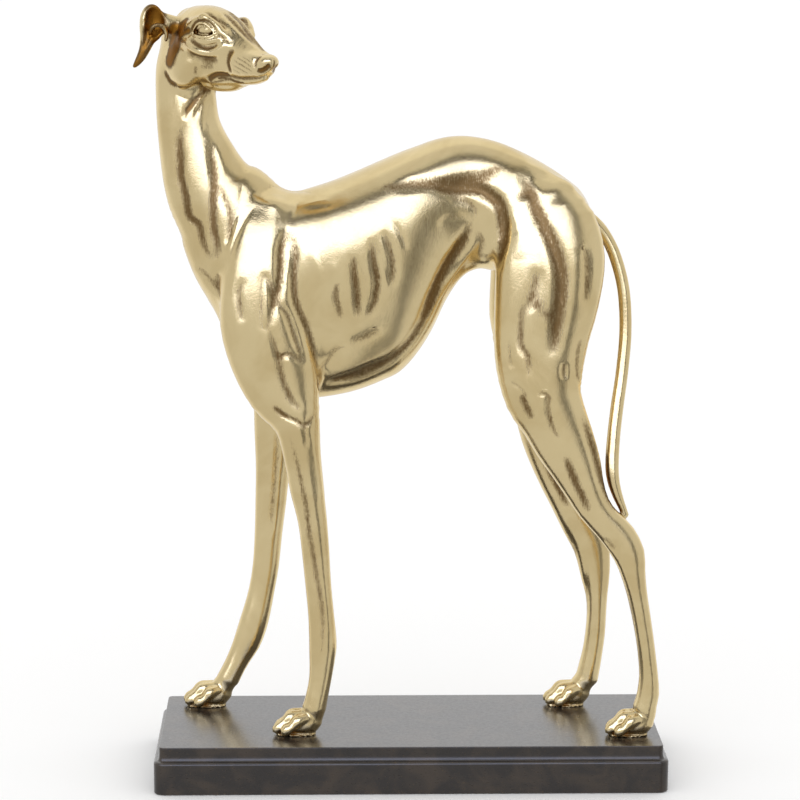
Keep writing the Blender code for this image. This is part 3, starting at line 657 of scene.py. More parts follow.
FAR_HIND_LEG = [
    (86, 377, 160, 376, 41, 24),
    (95, 348, 155, 345, 44, 21.5),
    (105, 321, 155, 318, 47, 18.5),
    (114, 285, 154, 291, 49, 16),
    (123, 262, 163, 267, 50, 14.5),
    (134, 238, 171, 243, 51, 13),
    (146, 214, 181, 221, 51.5, 12),
    (158, 188, 193, 200, 52, 11.6),
    (170, 163, 205, 178, 52, 11.6),
    (178, 137, 207.5, 148, 52, 11.8),
    (182.6, 118, 206.4, 120, 52, 11.2),
    (184.3, 98, 205.4, 99, 52, 10.6),
    (183.6, 76, 204.5, 77, 52, 10.4),
    (181.4, 58, 202.4, 58, 52, 10.8),
    (178, 44, 200.4, 42, 52, 11.8),
    (175, 31, 198, 27, 52, 12),
]

# Tail stations: x, z, y, radius
TAIL = [
    (163, 522, 0, 9),
    (181, 509, -1, 7.6),
    (192, 497, -2, 6.2),
    (202, 476, -4, 6.2),
    (210, 444, -8, 6.2),
    (212, 404, -13, 6.2),
    (208.5, 364, -20, 6.3),
    (203.5, 330, -27, 6.5),
    (200, 300, -33, 6.6),
    (198.5, 278, -38, 6.8),
    (199, 262, -41, 6.6),
    (202, 249, -42, 5.8),
    (207, 236, -43, 4.6),
    (212.5, 225, -44, 3),
]

print("limb stations:", sum(len(t) for t in (NECK, SHOULDER, NEAR_FORELEG, FAR_FORELEG, THIGH)))
print("hind leg stations:", len(NEAR_HIND_LEG) + len(FAR_HIND_LEG), "and tail stations:", len(TAIL))

# %% [markdown]
# Paws
#
# A greyhound stands on long, arched toes. The four paws of the statue are alike, so one table of
# toes serves all of them, and each paw only says where it stands and which way it faces.

# %% Paws and toes
# Each paw: toe tip x, heel x, middle y, which way its outer side faces
PAWS = [
    (-140, -89, -43, -1),
    (-234, -182.5, 55, 1),
    (193.5, 244, -50, -1),
    (140.3, 189, 52, 1),
]

# Toes: distance aside, how far drawn back
TOES = [
    (-12.0, 11.0),
    (-4.6, 1.5),
    (4.4, 0.0),
    (11.5, 8.5),
]

print("paws:", len(PAWS), "with", len(TOES), "toes each")

# %% [markdown]
# The head
#
# The head is turned back over the shoulder, so its stations are awkward numbers in the body's
# axes. In axes of its own they are simple, and one half can be laid over the other. The skull is
# one long tube, and cheek, brow, lids, flews, nose and jaw are pressed onto it. Only what the
# turned head shows of its near side, such as a knob on the brow, is left off the other half.

# %% Head stations
# The head has its own axes: forward to the nose, aside, and up. It is turned back from the body.
HEAD_TURN = math.radians(52.5)
HEAD_X = -230.0
HEAD_Y = 24.0
HEAD_HANG = 0.006
HEAD_LOW = (-290, -130, 630)
HEAD_HIGH = (-90, 70, 760)

# Skull and muzzle: forward, top, bottom, half width, how much the top is narrower
SKULL = [
    (10, 708, 665, 20, 0),
    (28, 720.5, 654.5, 26, 0),
    (46, 723.2, 649, 28.5, 0),
    (62, 722.3, 647.5, 27, 0),
    (77, 718, 648, 24, 0.08),
    (90, 712, 649.5, 20.5, 0.14),
    (103, 703.5, 651, 17.5, 0.12),
    (116, 695.5, 652.5, 15, 0.08),
    (130, 687.5, 655, 13, 0.04),
    (142, 682, 659, 11.5, 0),
    (149, 680, 664, 9.5, 0),
]

# Parts of the face: stations of forward, aside, up, half height, half width
CHEEKBONE = [(50, 26, 692, 5, 4), (64, 28.5, 686, 6, 4.5), (78, 26.5, 683, 6.5, 5), (92, 20, 683, 5.5, 4),
             (102, 16, 688, 4, 3.5)]
BROW = [(60, 24.5, 704.5, 4.5, 4), (70, 25, 709.5, 4.5, 4), (82, 22.8, 711, 4.5, 4), (93, 19.4, 706, 4, 4),
        (99.5, 17.2, 699.4, 3.4, 3.4)]
BAG = [(66, 27, 693, 3, 3.2), (75, 27.6, 691.4, 3.3, 3.2), (84, 26.2, 690.6, 3.3, 3.2),
       (92, 23, 691.8, 3.2, 3), (98.5, 19.6, 693.6, 2.8, 2.8)]
KNOB = ((79, 24, 713.4), (4.6, 4.4, 3.8))
PIT = ((80, 29, 714.2), (1.6, 3, 1.5))
SOCKET = ((80.8, 33.4, 701.8), (12.6, 5.6, 6.2))
EYEBALL = ((79.6, 19.4, 701.4), (12.2, 9, 7.6))
UPPER_LID = [(67, 28.4, 697.6, 1.2, 1.6), (71.5, 29.4, 702.3, 1.3, 1.8), (77.5, 29.6, 706.8, 1.4, 2),
             (85.5, 27.6, 708, 1.4, 2), (91.5, 24.6, 703.8, 1.3, 1.8), (95.5, 21.8, 698.2, 1.1, 1.4)]
LOWER_LID = [(67, 28.4, 697.6, 1.2, 1.6), (75, 29.6, 695.6, 1.2, 1.8), (84, 28.4, 694.9, 1.3, 2),
             (91, 24.8, 695.8, 1.2, 1.8), (95.5, 21.8, 698.2, 1.1, 1.4)]
FLEWS = [(110, 10.5, 670, 12, 6.5), (122, 9.5, 669.5, 12.5, 7.5), (136, 8, 670, 11, 7),
         (146, 5, 670.5, 8.5, 5.5)]
THROAT_SKIN = [(58, 0, 649, 6.5, 11), (76, 0, 647.5, 6, 10), (94, 0, 648.5, 5.5, 8), (108, 0, 651.5, 4, 6)]
JAW = [(76, 0, 652, 5, 15), (106, 0, 654, 5, 11.5), (130, 0, 656, 4.6, 8.5), (142, 0, 659, 4.2, 6.5)]
CHEEK = ((42, 23, 667), (24, 11.5, 22))
NOSE = ((151.5, 0, 673.5), (8.6, 9.4, 7.4))

# The ear that shows, thrown back and folded, in body axes: x, y, z, half height, half thickness
EAR_ROOT = [(-222, -12, 702, 8, 7), (-233, -17, 704.5, 9, 7), (-243, -20, 706, 10.5, 7)]
EAR_FOLD = ((-251.8, -21.5, 706), (12, 8.5, 18.2))
EAR_FLAP = [
    (-254.5, -22, 700, 8.5, 6.5),
    (-256.7, -23, 689, 7, 6),
    (-259.2, -23.5, 681, 5.4, 5),
    (-262.5, -24, 674, 4.4, 4.2),
    (-266.5, -24, 668, 3.2, 3.2),
    (-269, -24, 665, 2, 2),
]
EAR_BOWL = ((-248.6, -31.5, 707.6), (10.6, 12, 16.6))
EAR_TROUGH = [(-255, -31, 698, 5, 7), (-257, -31, 690, 3.8, 5.5), (-259.2, -30.5, 684, 2.4, 3.6)]
EAR_CURL = [
    (-253.2, -26.5, 697, 1.8, 2.2),
    (-252, -28, 701, 2, 2.4),
    (-248, -28.5, 704.2, 2.2, 2.6),
    (-243.4, -28, 704.2, 2.2, 2.6),
    (-239.8, -26.5, 701.2, 2.2, 2.6),
    (-237.8, -24.5, 696, 2, 2.4),
    (-238.6, -22, 690, 1.8, 2),
]
# The other ear lies folded back along the neck: forward, aside, up, half height, half thickness
FAR_EAR = [(34, -25, 704, 7, 5), (22, -31, 700, 9, 5), (8, -34, 689, 8, 4.5), (-2, -33, 676, 5, 3.6),
           (-6, -31, 668, 3, 2.8)]

print("the head reaches from", SKULL[0][0], "to", SKULL[-1][0], "parts ahead of its pivot")

# %% [markdown]
# Where the carving lies
#
# The sculptor drew ribs, tendons, veins and the edges of muscles into the clay. Seen straight from
# the side, a line needs only x and z and is cut into one flank or both. Where the near side has a
# finer drawing, each point also has its depth, and the line is laid onto the surface before it is
# cut. The last two tables hold no carving: they place painted shade and painted dark reflections,
# brown patches laid into the gold's colour.

# %% Carved lines of the body
# Carved lines seen from the side: side (0 both, -1 near, 1 far), width, depth, line of x and z
SIDE_LINES = [
    (1, 3.2, 3.0, [(-121, 512), (-117, 480), (-115.5, 451), (-109.5, 429), (-100, 407), (-95, 382),
                   (-92, 363)]),
    (1, 4.0, 2.6, [(-150, 505), (-146, 470), (-142, 440), (-137, 403), (-127, 349), (-118, 320)]),
    (1, 4.0, 2.2, [(-128, 495), (-130, 465), (-128, 440), (-115, 405), (-104, 380)]),
    (1, 4.5, 1.6, [(-165, 465), (-165, 430), (-158, 400), (-147, 372)]),
    (1, 4.5, 3.0, [(-221, 622), (-225, 595), (-227, 575), (-223, 545), (-221, 521), (-206, 496),
                   (-199, 476)]),
    (1, 4.5, 3.0, [(-196, 600), (-196, 565), (-195, 535), (-193, 511), (-195, 476)]),
    (1, 2.6, 1.5, [(-100, 490), (-93, 460), (-85, 421)]),
    (1, 2.6, 1.9, [(-76, 470), (-74, 445), (-70, 421)]),
    (1, 2.6, 2.0, [(-59, 490), (-54, 460), (-49, 421)]),
    (1, 2.6, 2.0, [(-43, 507), (-39, 470), (-34, 431)]),
    (1, 2.6, 1.9, [(-29, 510), (-25, 485), (-21, 456)]),
    (1, 2.6, 1.5, [(-23, 524), (-15, 507), (-7, 490)]),
    (0, 3.5, 2.0, [(-90, 358), (-60, 361), (-41, 368), (-21, 380), (-1, 399), (13, 424), (28, 453)]),
    (0, 4.0, 2.2, [(8, 420), (25, 455), (40, 482), (52, 505), (58, 522)]),
    (1, 5.0, 2.6, [(-30, 545), (20, 551), (48, 557), (87, 569)]),
    (1, 4.5, 4.5, [(57, 548), (72, 541), (82, 528), (87, 513), (88, 493.5), (86, 474), (83, 462)]),
    (1, 5.0, 3.4, [(96, 562), (104, 553), (120.6, 529), (130, 509.5), (138, 490), (142, 465.5), (142, 441),
                   (137, 378)]),
    (1, 4.0, 2.2, [(103, 450), (104, 410), (107, 385), (112, 358)]),
    (1, 4.0, 2.0, [(152, 530), (160, 500), (163, 470), (161, 440), (155, 410), (152, 385)]),
    (1, 3.0, 2.0, [(165, 430), (158, 402), (157, 375), (162, 350)]),
    (1, 3.5, 3.0, [(104, 344), (111, 325), (116, 305)]),
    (1, 3.5, 2.2, [(132, 290), (140, 262), (152, 236), (166, 208)]),
    (1, 2.4, 1.2, [(-135, 305), (-134, 280), (-136, 250), (-139, 220), (-141, 195), (-144, 180)]),
    (1, 2.4, 1.3, [(158, 195), (168, 175), (172, 155), (174, 130), (173, 100), (170, 80)]),
    (1, 2.0, 1.2, [(182, 160), (184, 130), (184, 100), (180, 75), (178, 62)]),
    (-1, 2.4, 1.8, [(-139, 340), (-127, 330), (-114.5, 324.5), (-105, 319.6), (-93, 332)]),
    (-1, 2.6, 1.6, [(-124, 320), (-118, 300), (-113, 280), (-109, 260), (-104, 235), (-103, 222),
                    (-101, 205), (-98, 190), (-95, 170), (-90, 140), (-88, 110), (-91, 70)]),
    (-1, 1.8, 1.0, [(-107, 318), (-105, 308), (-104, 296)]),
    (-1, 2.4, -0.9, [(-99, 310), (-92, 270), (-88, 240)]),
    (-1, 3.5, 2.2, [(148, 292), (153, 280), (160, 262), (168, 246), (176, 228)]),
    (-1, 3.0, 2.2, [(165, 332), (178, 293), (186, 265), (196, 241), (206, 226)]),
    (-1, 2.2, 1.4, [(190, 206), (196, 199), (203, 192)]),
    (-1, 2.4, 1.4, [(192, 190), (200, 178), (210, 155), (218, 130), (223, 100), (228, 75), (229, 50)]),
]

# Carved lines that lie on the near side: width, depth, line of x, y and z
NEAR_LINES = [
    (3.6, 2.8, [(-223, -20, 613), (-226, -19, 591), (-225, -20, 576), (-225, -21, 559), (-220, -23, 539),
                (-217, -23, 520), (-208, -28, 511), (-203, -28, 493), (-194, -32, 474)]),
    (3.4, 2.8, [(-197, -19, 593), (-195, -22, 574), (-193, -27, 555), (-194, -30, 534), (-193, -32, 509),
                (-190, -35, 490), (-193, -33, 476)]),
    (2.8, 2.0, [(-187, -28, 552), (-183, -31, 540), (-178, -34, 525), (-178, -36, 510), (-180, -39, 494)]),
    (1.5, 1.0, [(-165, -23, 557), (-168, -32, 537), (-177, -36, 508), (-181, -41, 489)]),
    (1.5, 1.0, [(-153, -35, 532), (-164, -40, 517), (-174, -44, 495), (-180, -47, 473)]),
    (1.4, -0.7, [(-160, -32, 534), (-170, -38, 514), (-179, -43, 484)]),
    (3.2, 1.4, [(-213, -18, 470), (-201, -26, 461), (-193, -26, 445)]),
    (2.6, 2.2, [(-190, -35, 468), (-192, -30, 447), (-188, -40, 427)]),
    (2.2, 1.0, [(-147, -27, 542), (-139, -18, 549), (-129, -8, 551), (-111, -6, 547), (-99, -18, 543),
                (-90, -24, 544)]),
    (1.3, -0.9, [(-112, -31, 529), (-94, -32, 535), (-80, -35, 537)]),
    (1.5, 0.9, [(-108, -34, 525), (-90, -39, 529), (-75, -41, 533)]),
    (2.8, 1.8, [(-164, -58, 463), (-169, -58, 450), (-168, -59, 437), (-166, -60, 420)]),
    (2.0, 1.4, [(-144, -57, 470), (-147, -59, 460), (-147, -62, 441), (-148, -64, 412)]),
    (2.4, 1.8, [(-144, -57, 470), (-139, -59, 456), (-137, -60, 441), (-139, -61, 423), (-146, -64, 411)]),
    (3.4, 2.6, [(-121, -43, 511), (-128, -51, 492), (-129, -54, 471), (-133, -59, 444), (-138, -61, 433)]),
    (2.8, 2.8, [(-119, -43, 510), (-114, -49, 488), (-116, -51, 461), (-114, -52, 439), (-104, -50, 414),
                (-97, -47, 387), (-92, -46, 365)]),
    (2.4, 1.9, [(-133, -59, 442), (-123, -57, 427), (-115, -57, 403), (-106, -58, 378)]),
    (2.4, 1.9, [(-141, -62, 417), (-135, -62, 400), (-131, -62, 388), (-120, -62, 390), (-107, -58, 379)]),
    (3.0, 2.0, [(-131, -62, 394), (-129, -62, 374), (-123, -62, 354), (-115, -62, 340), (-107, -60, 334)]),
    (2.4, 1.2, [(-137, -60, 339), (-130, -61, 332), (-122, -61, 326)]),
    (2.6, 2.2, [(-73, -57, 462), (-75, -55, 448), (-72, -54, 432), (-69, -53, 421)]),
    (3.0, 2.6, [(-58, -58, 488), (-58, -58, 472), (-55, -56, 452), (-53, -53, 422)]),
    (1.2, 0.7, [(-57, -58, 487), (-50, -59, 472), (-45, -58, 456), (-46, -54, 434)]),
    (3.0, 2.6, [(-41, -57, 503), (-39, -57, 481), (-35, -56, 461), (-38, -54, 440), (-46, -52, 422)]),
    (1.2, 0.7, [(-38, -58, 503), (-30, -58, 483), (-25, -55, 469), (-22, -55, 454)]),
    (2.6, 2.2, [(-30, -57, 510), (-23, -57, 491), (-20, -56, 475), (-21, -54, 454)]),
    (1.6, 1.2, [(-23, -54, 523), (-15, -54, 510), (-6, -54, 489)]),
    (2.2, -0.8, [(-100, -52, 494), (-93, -56, 475), (-87, -56, 452), (-84, -55, 436)]),
    (1.8, -0.6, [(-78, -58, 479), (-73, -57, 462)]),
    (3.4, 1.6, [(-30, -47, 413), (-44, -47, 406), (-61, -47, 399)]),
    (3.0, 1.4, [(-26, -31, 380), (-49, -33, 370), (-71, -29, 360), (-85, -28, 355)]),
    (2.0, 1.4, [(-91, -43, 369), (-85, -40, 376), (-75, -45, 391), (-63, -46, 395)]),
    (2.2, 1.8, [(-92, -46, 365), (-92, -45, 357), (-87, -34, 349)]),
    (5.0, 2.4, [(-21, -43, 550), (-1, -42, 552), (20, -39, 552), (40, -35, 554), (55, -32, 558),
                (71, -32, 559), (86, -31, 566)]),
    (4.2, 4.4, [(20, -41, 548), (41, -37, 548), (61, -34, 548), (75, -34, 542), (84, -35, 533),
                (89, -36, 518), (90, -39, 499), (87, -39, 481), (84, -40, 466)]),
    (2.6, 1.6, [(34, -41, 539), (51, -38, 536), (59, -37, 530), (62, -35, 518)]),
    (2.6, 1.6, [(63, -33, 509), (68, -32, 497), (66, -26, 483), (74, -23, 477)]),
    (3.4, 2.0, [(54, -31, 503), (42, -30, 490), (33, -32, 478), (23, -34, 458), (13, -33, 434)]),
    (2.4, -1.2, [(62, -32, 502), (56, -28, 489), (46, -24, 473), (35, -23, 457), (25, -23, 437)]),
    (2.4, 0.9, [(26, -45, 511), (30, -43, 518), (42, -39, 522), (53, -35, 518)]),
    (5.0, 3.6, [(102, -31, 564), (112, -36, 549), (118, -43, 532), (126, -50, 515), (135, -54, 496),
                (141, -57, 477), (143, -59, 458), (141, -60, 433), (137, -62, 403), (136, -63, 384)]),
    (4.2, 1.8, [(120, -60, 474), (117, -62, 454), (113, -62, 437), (117, -63, 431)]),
    (3.0, 2.0, [(106, -59, 441), (105, -59, 423), (105, -60, 399), (112, -62, 386), (112, -63, 364)]),
    (2.4, 1.8, [(148, -62, 382), (147, -62, 374), (148, -62, 364)]),
    (3.2, 1.6, [(97, -41, 538), (110, -38, 543), (121, -42, 538)]),
    (2.6, 1.8, [(165, -54, 406), (161, -55, 389), (161, -54, 370), (164, -50, 356)]),
    (3.6, 1.8, [(166, -52, 496), (170, -54, 477), (169, -55, 452), (167, -56, 436)]),
    (2.6, -1.0, [(97, -44, 528), (101, -48, 514), (104, -52, 500), (102, -54, 482)]),
    (2.4, 1.2, [(94, -57, 405), (94, -58, 387), (97, -59, 374)]),
    (3.0, 2.6, [(105, -62, 351), (110, -60, 340), (118, -60, 324)]),
    (2.2, 2.0, [(118, -65, 350), (126, -65, 352), (132, -64, 348), (132, -64, 335), (137, -63, 317),
                (145, -63, 303)]),
    (1.8, 1.2, [(92, -56, 363), (103, -61, 358), (112, -64, 348)]),
    (4.0, -1.6, [(103, -10, 580), (112, -24, 571), (130, -22, 566), (145, -26, 557), (164, -28, 543)]),
]

print("carved lines of the body:", len(SIDE_LINES) + len(NEAR_LINES))

# %% Carved lines of the face
# Width, depth, line of forward, aside and up
FACE_LINES = [
    (1.5, 3.6, [(73, 16.5, 650.5), (78, 17.2, 654.3), (87.5, 17, 658.1), (97.6, 15, 659.3),
                (106, 13.5, 658)]),
    (1.1, 1.5, [(97.6, 15, 659.3), (108.4, 13.5, 657.2), (119.6, 12, 656), (131.8, 10, 656.4),
                (143.3, 6, 658.5), (151, 1, 661.5)]),
    (1.1, 1.0, [(108, 13, 660.5), (120, 12, 659), (132, 10.5, 659.2), (142, 7, 661)]),
    (1.2, 1.0, [(72, 14.5, 648.6), (86.7, 14.3, 651.9), (102, 13.2, 655.2), (112, 11, 653.6)]),
    (1.4, -0.9, [(76, 16, 651.4), (86, 16, 654.6), (96, 14.6, 656.4), (108, 12.6, 654.6)]),
    (2.0, 1.9, [(115, 15.2, 685), (110.5, 16.8, 679.5), (108.4, 17.6, 673), (109.6, 17.4, 667),
                (113, 16.4, 662)]),
    (0.9, 0.8, [(115.2, 17.2, 675.6), (124, 17, 672), (132.1, 15.8, 669.3), (143.2, 11.8, 664)]),
    (0.9, 0.8, [(120, 16.5, 677.8), (127, 16, 675.4), (134.4, 15.2, 672.8), (144.2, 12.2, 667.4)]),
    (0.9, 0.8, [(114.5, 17.6, 670.6), (122, 17, 668), (130, 15.8, 665), (138, 12.8, 661.8)]),
    (0.8, 0.65, [(126.1, 15.2, 679), (132, 14.6, 677), (138.5, 13.6, 674.4), (144.3, 12, 670.4)]),
    (0.8, 0.65, [(115, 17.4, 666.4), (121, 16.4, 664), (128, 14.6, 661.6)]),
    (1.6, 4.6, [(146.5, 10.5, 667), (149.5, 8.2, 665.4), (153.5, 5.8, 666.8), (156.4, 5, 670.4),
                (155.6, 6, 672.6)]),
    (1.2, 1.5, [(149.6, 6.4, 680), (146.6, 9.6, 677), (145.4, 11.2, 672), (145.6, 11, 667.6)]),
    (1.1, 1.2, [(159, 0.5, 677), (160, 0, 672), (158.5, 0, 667), (155.5, 0, 662.5)]),
    (1.3, -1.5, [(74, 5, 720), (84, 7.4, 715.6), (94.2, 8.6, 710.2), (107.4, 7.2, 701.6),
                 (119.5, 5.4, 694.6), (130.4, 4, 688.8), (145, 3, 682.4)]),
    (2.4, 1.1, [(80, 2.5, 719), (94, 3.5, 711.5), (107, 3, 703), (120, 2, 695.4), (134, 1.2, 688)]),
    (2.0, 1.1, [(68, 15, 719), (78, 15.4, 717.4), (88.5, 15.6, 712.6), (97, 14, 705), (101, 13, 698.5)]),
    (1.2, 0.8, [(70, 19.5, 718.6), (79, 19, 718.2), (87, 18.6, 714.4), (94, 16.6, 708)]),
    (1.1, 1.7, [(63.5, 29.5, 697.6), (68.5, 29.6, 704), (75.5, 28.8, 709), (85.5, 26, 710.6),
                (92.8, 22, 706.4), (98, 19, 699.5)]),
    (1.2, 1.3, [(97, 20.4, 697.4), (101, 18.4, 695), (106, 15.8, 691.6), (110.5, 14.2, 688.6)]),
    (1.7, 1.5, [(65, 31, 693.6), (72, 30.6, 689.8), (81.5, 30.4, 686.2), (89, 28, 684.6),
                (95.5, 24.2, 686.4), (99, 21.4, 690)]),
    (2.6, -2.3, [(58.2, 31.6, 691.4), (69.1, 32.4, 685.4), (81.4, 30, 681), (92.3, 24.6, 680),
                 (101.5, 20, 683.6), (106, 16.6, 690)]),
    (3.6, 1.3, [(60, 31, 682), (72, 30, 675.6), (86, 24, 673), (98, 19.4, 675)]),
    (1.5, 0.9, [(67.6, 26.6, 667.6), (67.5, 26, 662.7), (65.6, 25.4, 656)]),
    (2.2, -0.9, [(67, 27, 668.6), (74.7, 24.4, 669.6), (84, 22, 670.6)]),
    (2.2, 0.7, [(71, 25, 664.6), (80, 22.6, 665.8), (90, 20, 666)]),
    (2.6, 1.8, [(25, 32, 662), (28.6, 32, 654), (32, 30.6, 648), (40, 27.6, 645)]),
]

# Folds of the throat, which lie on the near side: width, depth, line of x, y and z
THROAT_LINES = [
    (1.9, 2.6, [(-197, -14, 645), (-202, -16, 641), (-208, -18, 635), (-214, -19, 629.5), (-219, -20, 622),
                (-222, -21, 612)]),
    (1.6, 1.5, [(-190, -14, 646), (-198, -14, 638.5), (-204, -16, 631), (-209, -18, 623),
                (-213, -20, 612)]),
    (1.4, -1.0, [(-193, -14, 645), (-200, -15, 638), (-207, -17.5, 631.5), (-214, -19, 622)]),
    (1.5, 1.2, [(-231, -20, 640), (-223, -20, 635), (-215, -19, 633), (-208, -18, 636)]),
    (1.2, 0.9, [(-186, -12, 640), (-194, -14, 628), (-200, -16, 614), (-203, -18, 598)]),
]

print("carved lines of the face and throat:", len(FACE_LINES) + len(THROAT_LINES))

# %% Painted shade and painted dark reflections
# Patches of painted shade and painted dark reflection: width, strength and a line in the head's axes
FACE_PAINTED_SHADE = [
    (6.0, 1.3, [(47, 30, 704), (46, 32, 694), (42, 33, 683), (36, 33, 671)]),
    (3.0, 1.1, [(61, 30, 700), (54, 31, 698), (46, 31, 692)]),
    (3.6, 1.1, [(30, 32, 692), (33, 33, 680), (34, 33, 668)]),
    (4.2, 1.2, [(50, 27, 709), (42, 29, 704), (32, 30, 698)]),
    (1.9, 0.85, [(40, 27, 644.6), (54, 21, 644), (68, 15, 645.4), (82, 12, 647)]),
    (3.6, 0.55, [(82, -5, 718), (96, -5, 709.5), (110, -4.5, 700), (124, -3.5, 692), (138, -3, 685)]),
    (1.3, 1.2, [(76, 17, 652.6), (82, 17.2, 656), (90, 16.6, 658.6), (98, 15, 659.4)]),
    (1.5, 0.8, [(90, 15, 655.4), (102, 13, 656), (114, 10.6, 653.2), (122, 9, 652.4)]),
    (1.6, 0.7, [(112, 16.5, 682), (109, 17.8, 672), (112, 16.6, 663)]),
]
# The same in body axes: width, strength and a line of x, y and z
# Painted shade in the ear and the throat fold, painted dark reflections on flank and thigh
BODY_PAINTED_SHADE = [
    (4.6, 0.95, [(-255, -28, 702), (-256.5, -28, 690), (-260, -27, 680), (-264, -27, 672),
                 (-268, -25, 666)]),
    (7.5, 1.4, [(-249, -21, 716), (-247, -21, 704), (-250, -22, 694)]),
    (2.6, 0.9, [(-197, -14, 645), (-208, -18, 635), (-219, -20, 622)]),
    (6.0, 0.60, [(-26, -44, 549), (-1, -42, 553), (20, -39, 555), (45, -34, 559), (70, -31, 562),
                 (84, -30, 568)]),
    (5.5, 0.60, [(118, -43, 532), (130, -52, 506), (141, -57, 477), (143, -59, 458), (141, -60, 433),
                 (137, -62, 403)]),
    (6.5, 0.62, [(112, -62, 448), (121, -63, 438), (132, -62, 430), (139, -60, 414)]),
]

# %% [markdown]
# Assembling the figure
#
# Now the tables become solids. The order matters, because each solid melts into what is already
# there: the trunk first, then neck and legs, paws, tail, head and last the near ear. Its bowl is
# cut out of it and its curled rim is laid over the bowl. The carved lines are added at the end.

# %% The head
def to_head(p):
    """Body axes to the head's axes: forward, aside and up."""
    cos, sin = math.cos(HEAD_TURN), math.sin(HEAD_TURN)
    x = p[:, 0] - HEAD_X
    y = p[:, 1] - HEAD_Y
    return np.stack([x * cos - y * sin, -x * sin - y * cos, p[:, 2]], 1)


class Head:
    """The head in its own axes, with both sides alike apart from the far ear."""

    cut = False
    seam = 9.0

    def __init__(self):
        self.low = np.array(HEAD_LOW, dtype=float)
        self.high = np.array(HEAD_HIGH, dtype=float)
        skull = [(s, 0, (top + low) / 2, (top - low) / 2, wide, egg) for s, top, low, wide, egg in SKULL]
        self.solids = [
            Tube(skull, 6, power=2.3, caps=(14, 5)),
            Ball(*CHEEK, 8),
            Tube(CHEEKBONE, 8),
            Tube(BROW, 8),
            Tube(BAG, 3, caps=(3, 3)),
            Ball(*SOCKET, 2, cut=True),
            Ball(*EYEBALL, 0.8),
            Tube(UPPER_LID, 0.9, caps=(1.5, 1.5)),
            Tube(LOWER_LID, 0.9, caps=(1.5, 1.5)),
            Tube(FLEWS, 4),
            Ball(*NOSE, 3),
            Tube(JAW, 4),
            Tube(THROAT_SKIN, 3),
        ]
        self.lines = [Line(width, depth, points) for width, depth, points in FACE_LINES]
        for line in self.lines:
            line.lay(lambda q: carve(q, self.solids, []))
        self.far_ear = Tube(FAR_EAR, 3, caps=(4, 2.5))
        self.knob = Ball(*KNOB, 3)
        self.pit = Ball(*PIT, 1)

    def fold(self, p):
        """Points in the head's axes, the far side laid over the near one. The head hangs over a little."""
        q = to_head(p)
        q[:, 2] += HEAD_HANG * np.minimum(q[:, 1], 0) ** 2
        q[:, 1] = np.abs(q[:, 1])
        return q

    def distance(self, p):
        """Both halves from one set of solids, then the near side's knob and pit, then the far ear."""
        q = to_head(p)
        ear = self.far_ear.distance(q)
        d = melt(carve(self.fold(p), self.solids, self.lines), self.knob.distance(q), 3)
        return melt(-melt(-d, self.pit.distance(q), 1), ear, 3)

# %% Paws
def paw(tip, heel, y, out):
    """One paw: the ball and heel, four toes and the thin cast sole it stands on."""
    scale = (heel - tip) / 50.0

    def at(forward, aside, z, half, thick):
        """A station from the heel forwards and from the paw's middle outwards."""
        return heel - forward * scale, y + aside * out, z, half, thick

    heel_end = [at(9, 0, 21, 11, 10), at(14, 0, 13, 13, 11.8)]
    ball = [at(28, 0, 9.5, 10.5, 12.4), at(35, 0, 7.5, 7.5, 11.6)]
    solids = [Tube(heel_end + ball, 7, caps=(8, 8))]
    for aside, back in TOES:
        low = 2.5 if back > 4 else 0.0
        toe = [
            at(13, aside * 0.62, 21 - low, 5, 4.2),
            at(23 - back * 0.5, aside * 0.84, 20.6 - low, 5, 4.5),
            at(31 - back * 0.8, aside * 0.98, 18.6 - low, 5.9, 5.2),
            at(37.5 - back, aside * 1.04, 12.8 - low * 0.6, 4.6, 4.6),
            at(42.5 - back, aside * 1.08, 8, 5.6, 5.2),
            at(45.5 - back, aside * 1.08, 5.6, 4.4, 4.4),
        ]
        claw = [at(45.5 - back, aside * 1.1, 7, 1.8, 1.6), at(48.6 - back, aside * 1.12, 3, 0.9, 0.9)]
        solids.append(Tube(toe, 1.5, caps=(4, 3)))
        solids.append(Tube(claw, 0.8, caps=(1, 0.8)))
    sole = [at(11, 0, 0.6, 2, 10), at(26, 0, 0.6, 2, 13), at(40, 0, 0.6, 2, 10)]
    solids.append(Tube(sole, 1, caps=(6, 6)))
    return solids


print("one paw is", len(paw(*PAWS[0])), "solids")

# %% The whole field
def figure_solids():
    """All the solids of the greyhound, in the order in which they melt together."""
    solids = [Trunk(TRUNK, 10, 2.15, (14, 16)), Tube(stations(NECK), 16, caps=(16, 20), step=5.0)]
    for side, foreleg in ((-1, NEAR_FORELEG), (1, FAR_FORELEG)):
        solids.append(Tube(stations(SHOULDER, side) + stations(foreleg), 12, power=2.1, caps=(14, 8)))
    for side, hind_leg in ((-1, NEAR_HIND_LEG), (1, FAR_HIND_LEG)):
        solids.append(Tube(stations(THIGH, side) + stations(hind_leg), 12, power=2.1, caps=(20, 8)))
    for tip, heel, y, out in PAWS:
        solids.extend(paw(tip, heel, y, out))
    solids.append(Tube([(x, y, z, r, r) for x, z, y, r in TAIL], 4, caps=(6, 3)))
    solids.append(Head())
    solids.append(Tube(EAR_ROOT, 4))
    solids.append(Ball(*EAR_FOLD, 3))
    solids.append(Tube(EAR_FLAP, 3, caps=(5, 2)))
    solids.append(Ball(*EAR_BOWL, 1.4, cut=True))
    solids.append(Tube(EAR_TROUGH, 1.4, caps=(4, 3), cut=True))
    solids.append(Tube(EAR_CURL, 1.4, caps=(2, 2)))
    return solids


# The body's grooves are darkened less than the face's, as painted shade and patina: the share of
# their depth that darkens, and the most that counts
BODY_GROOVE_SHADE = 0.52
BODY_MOST = 1.2


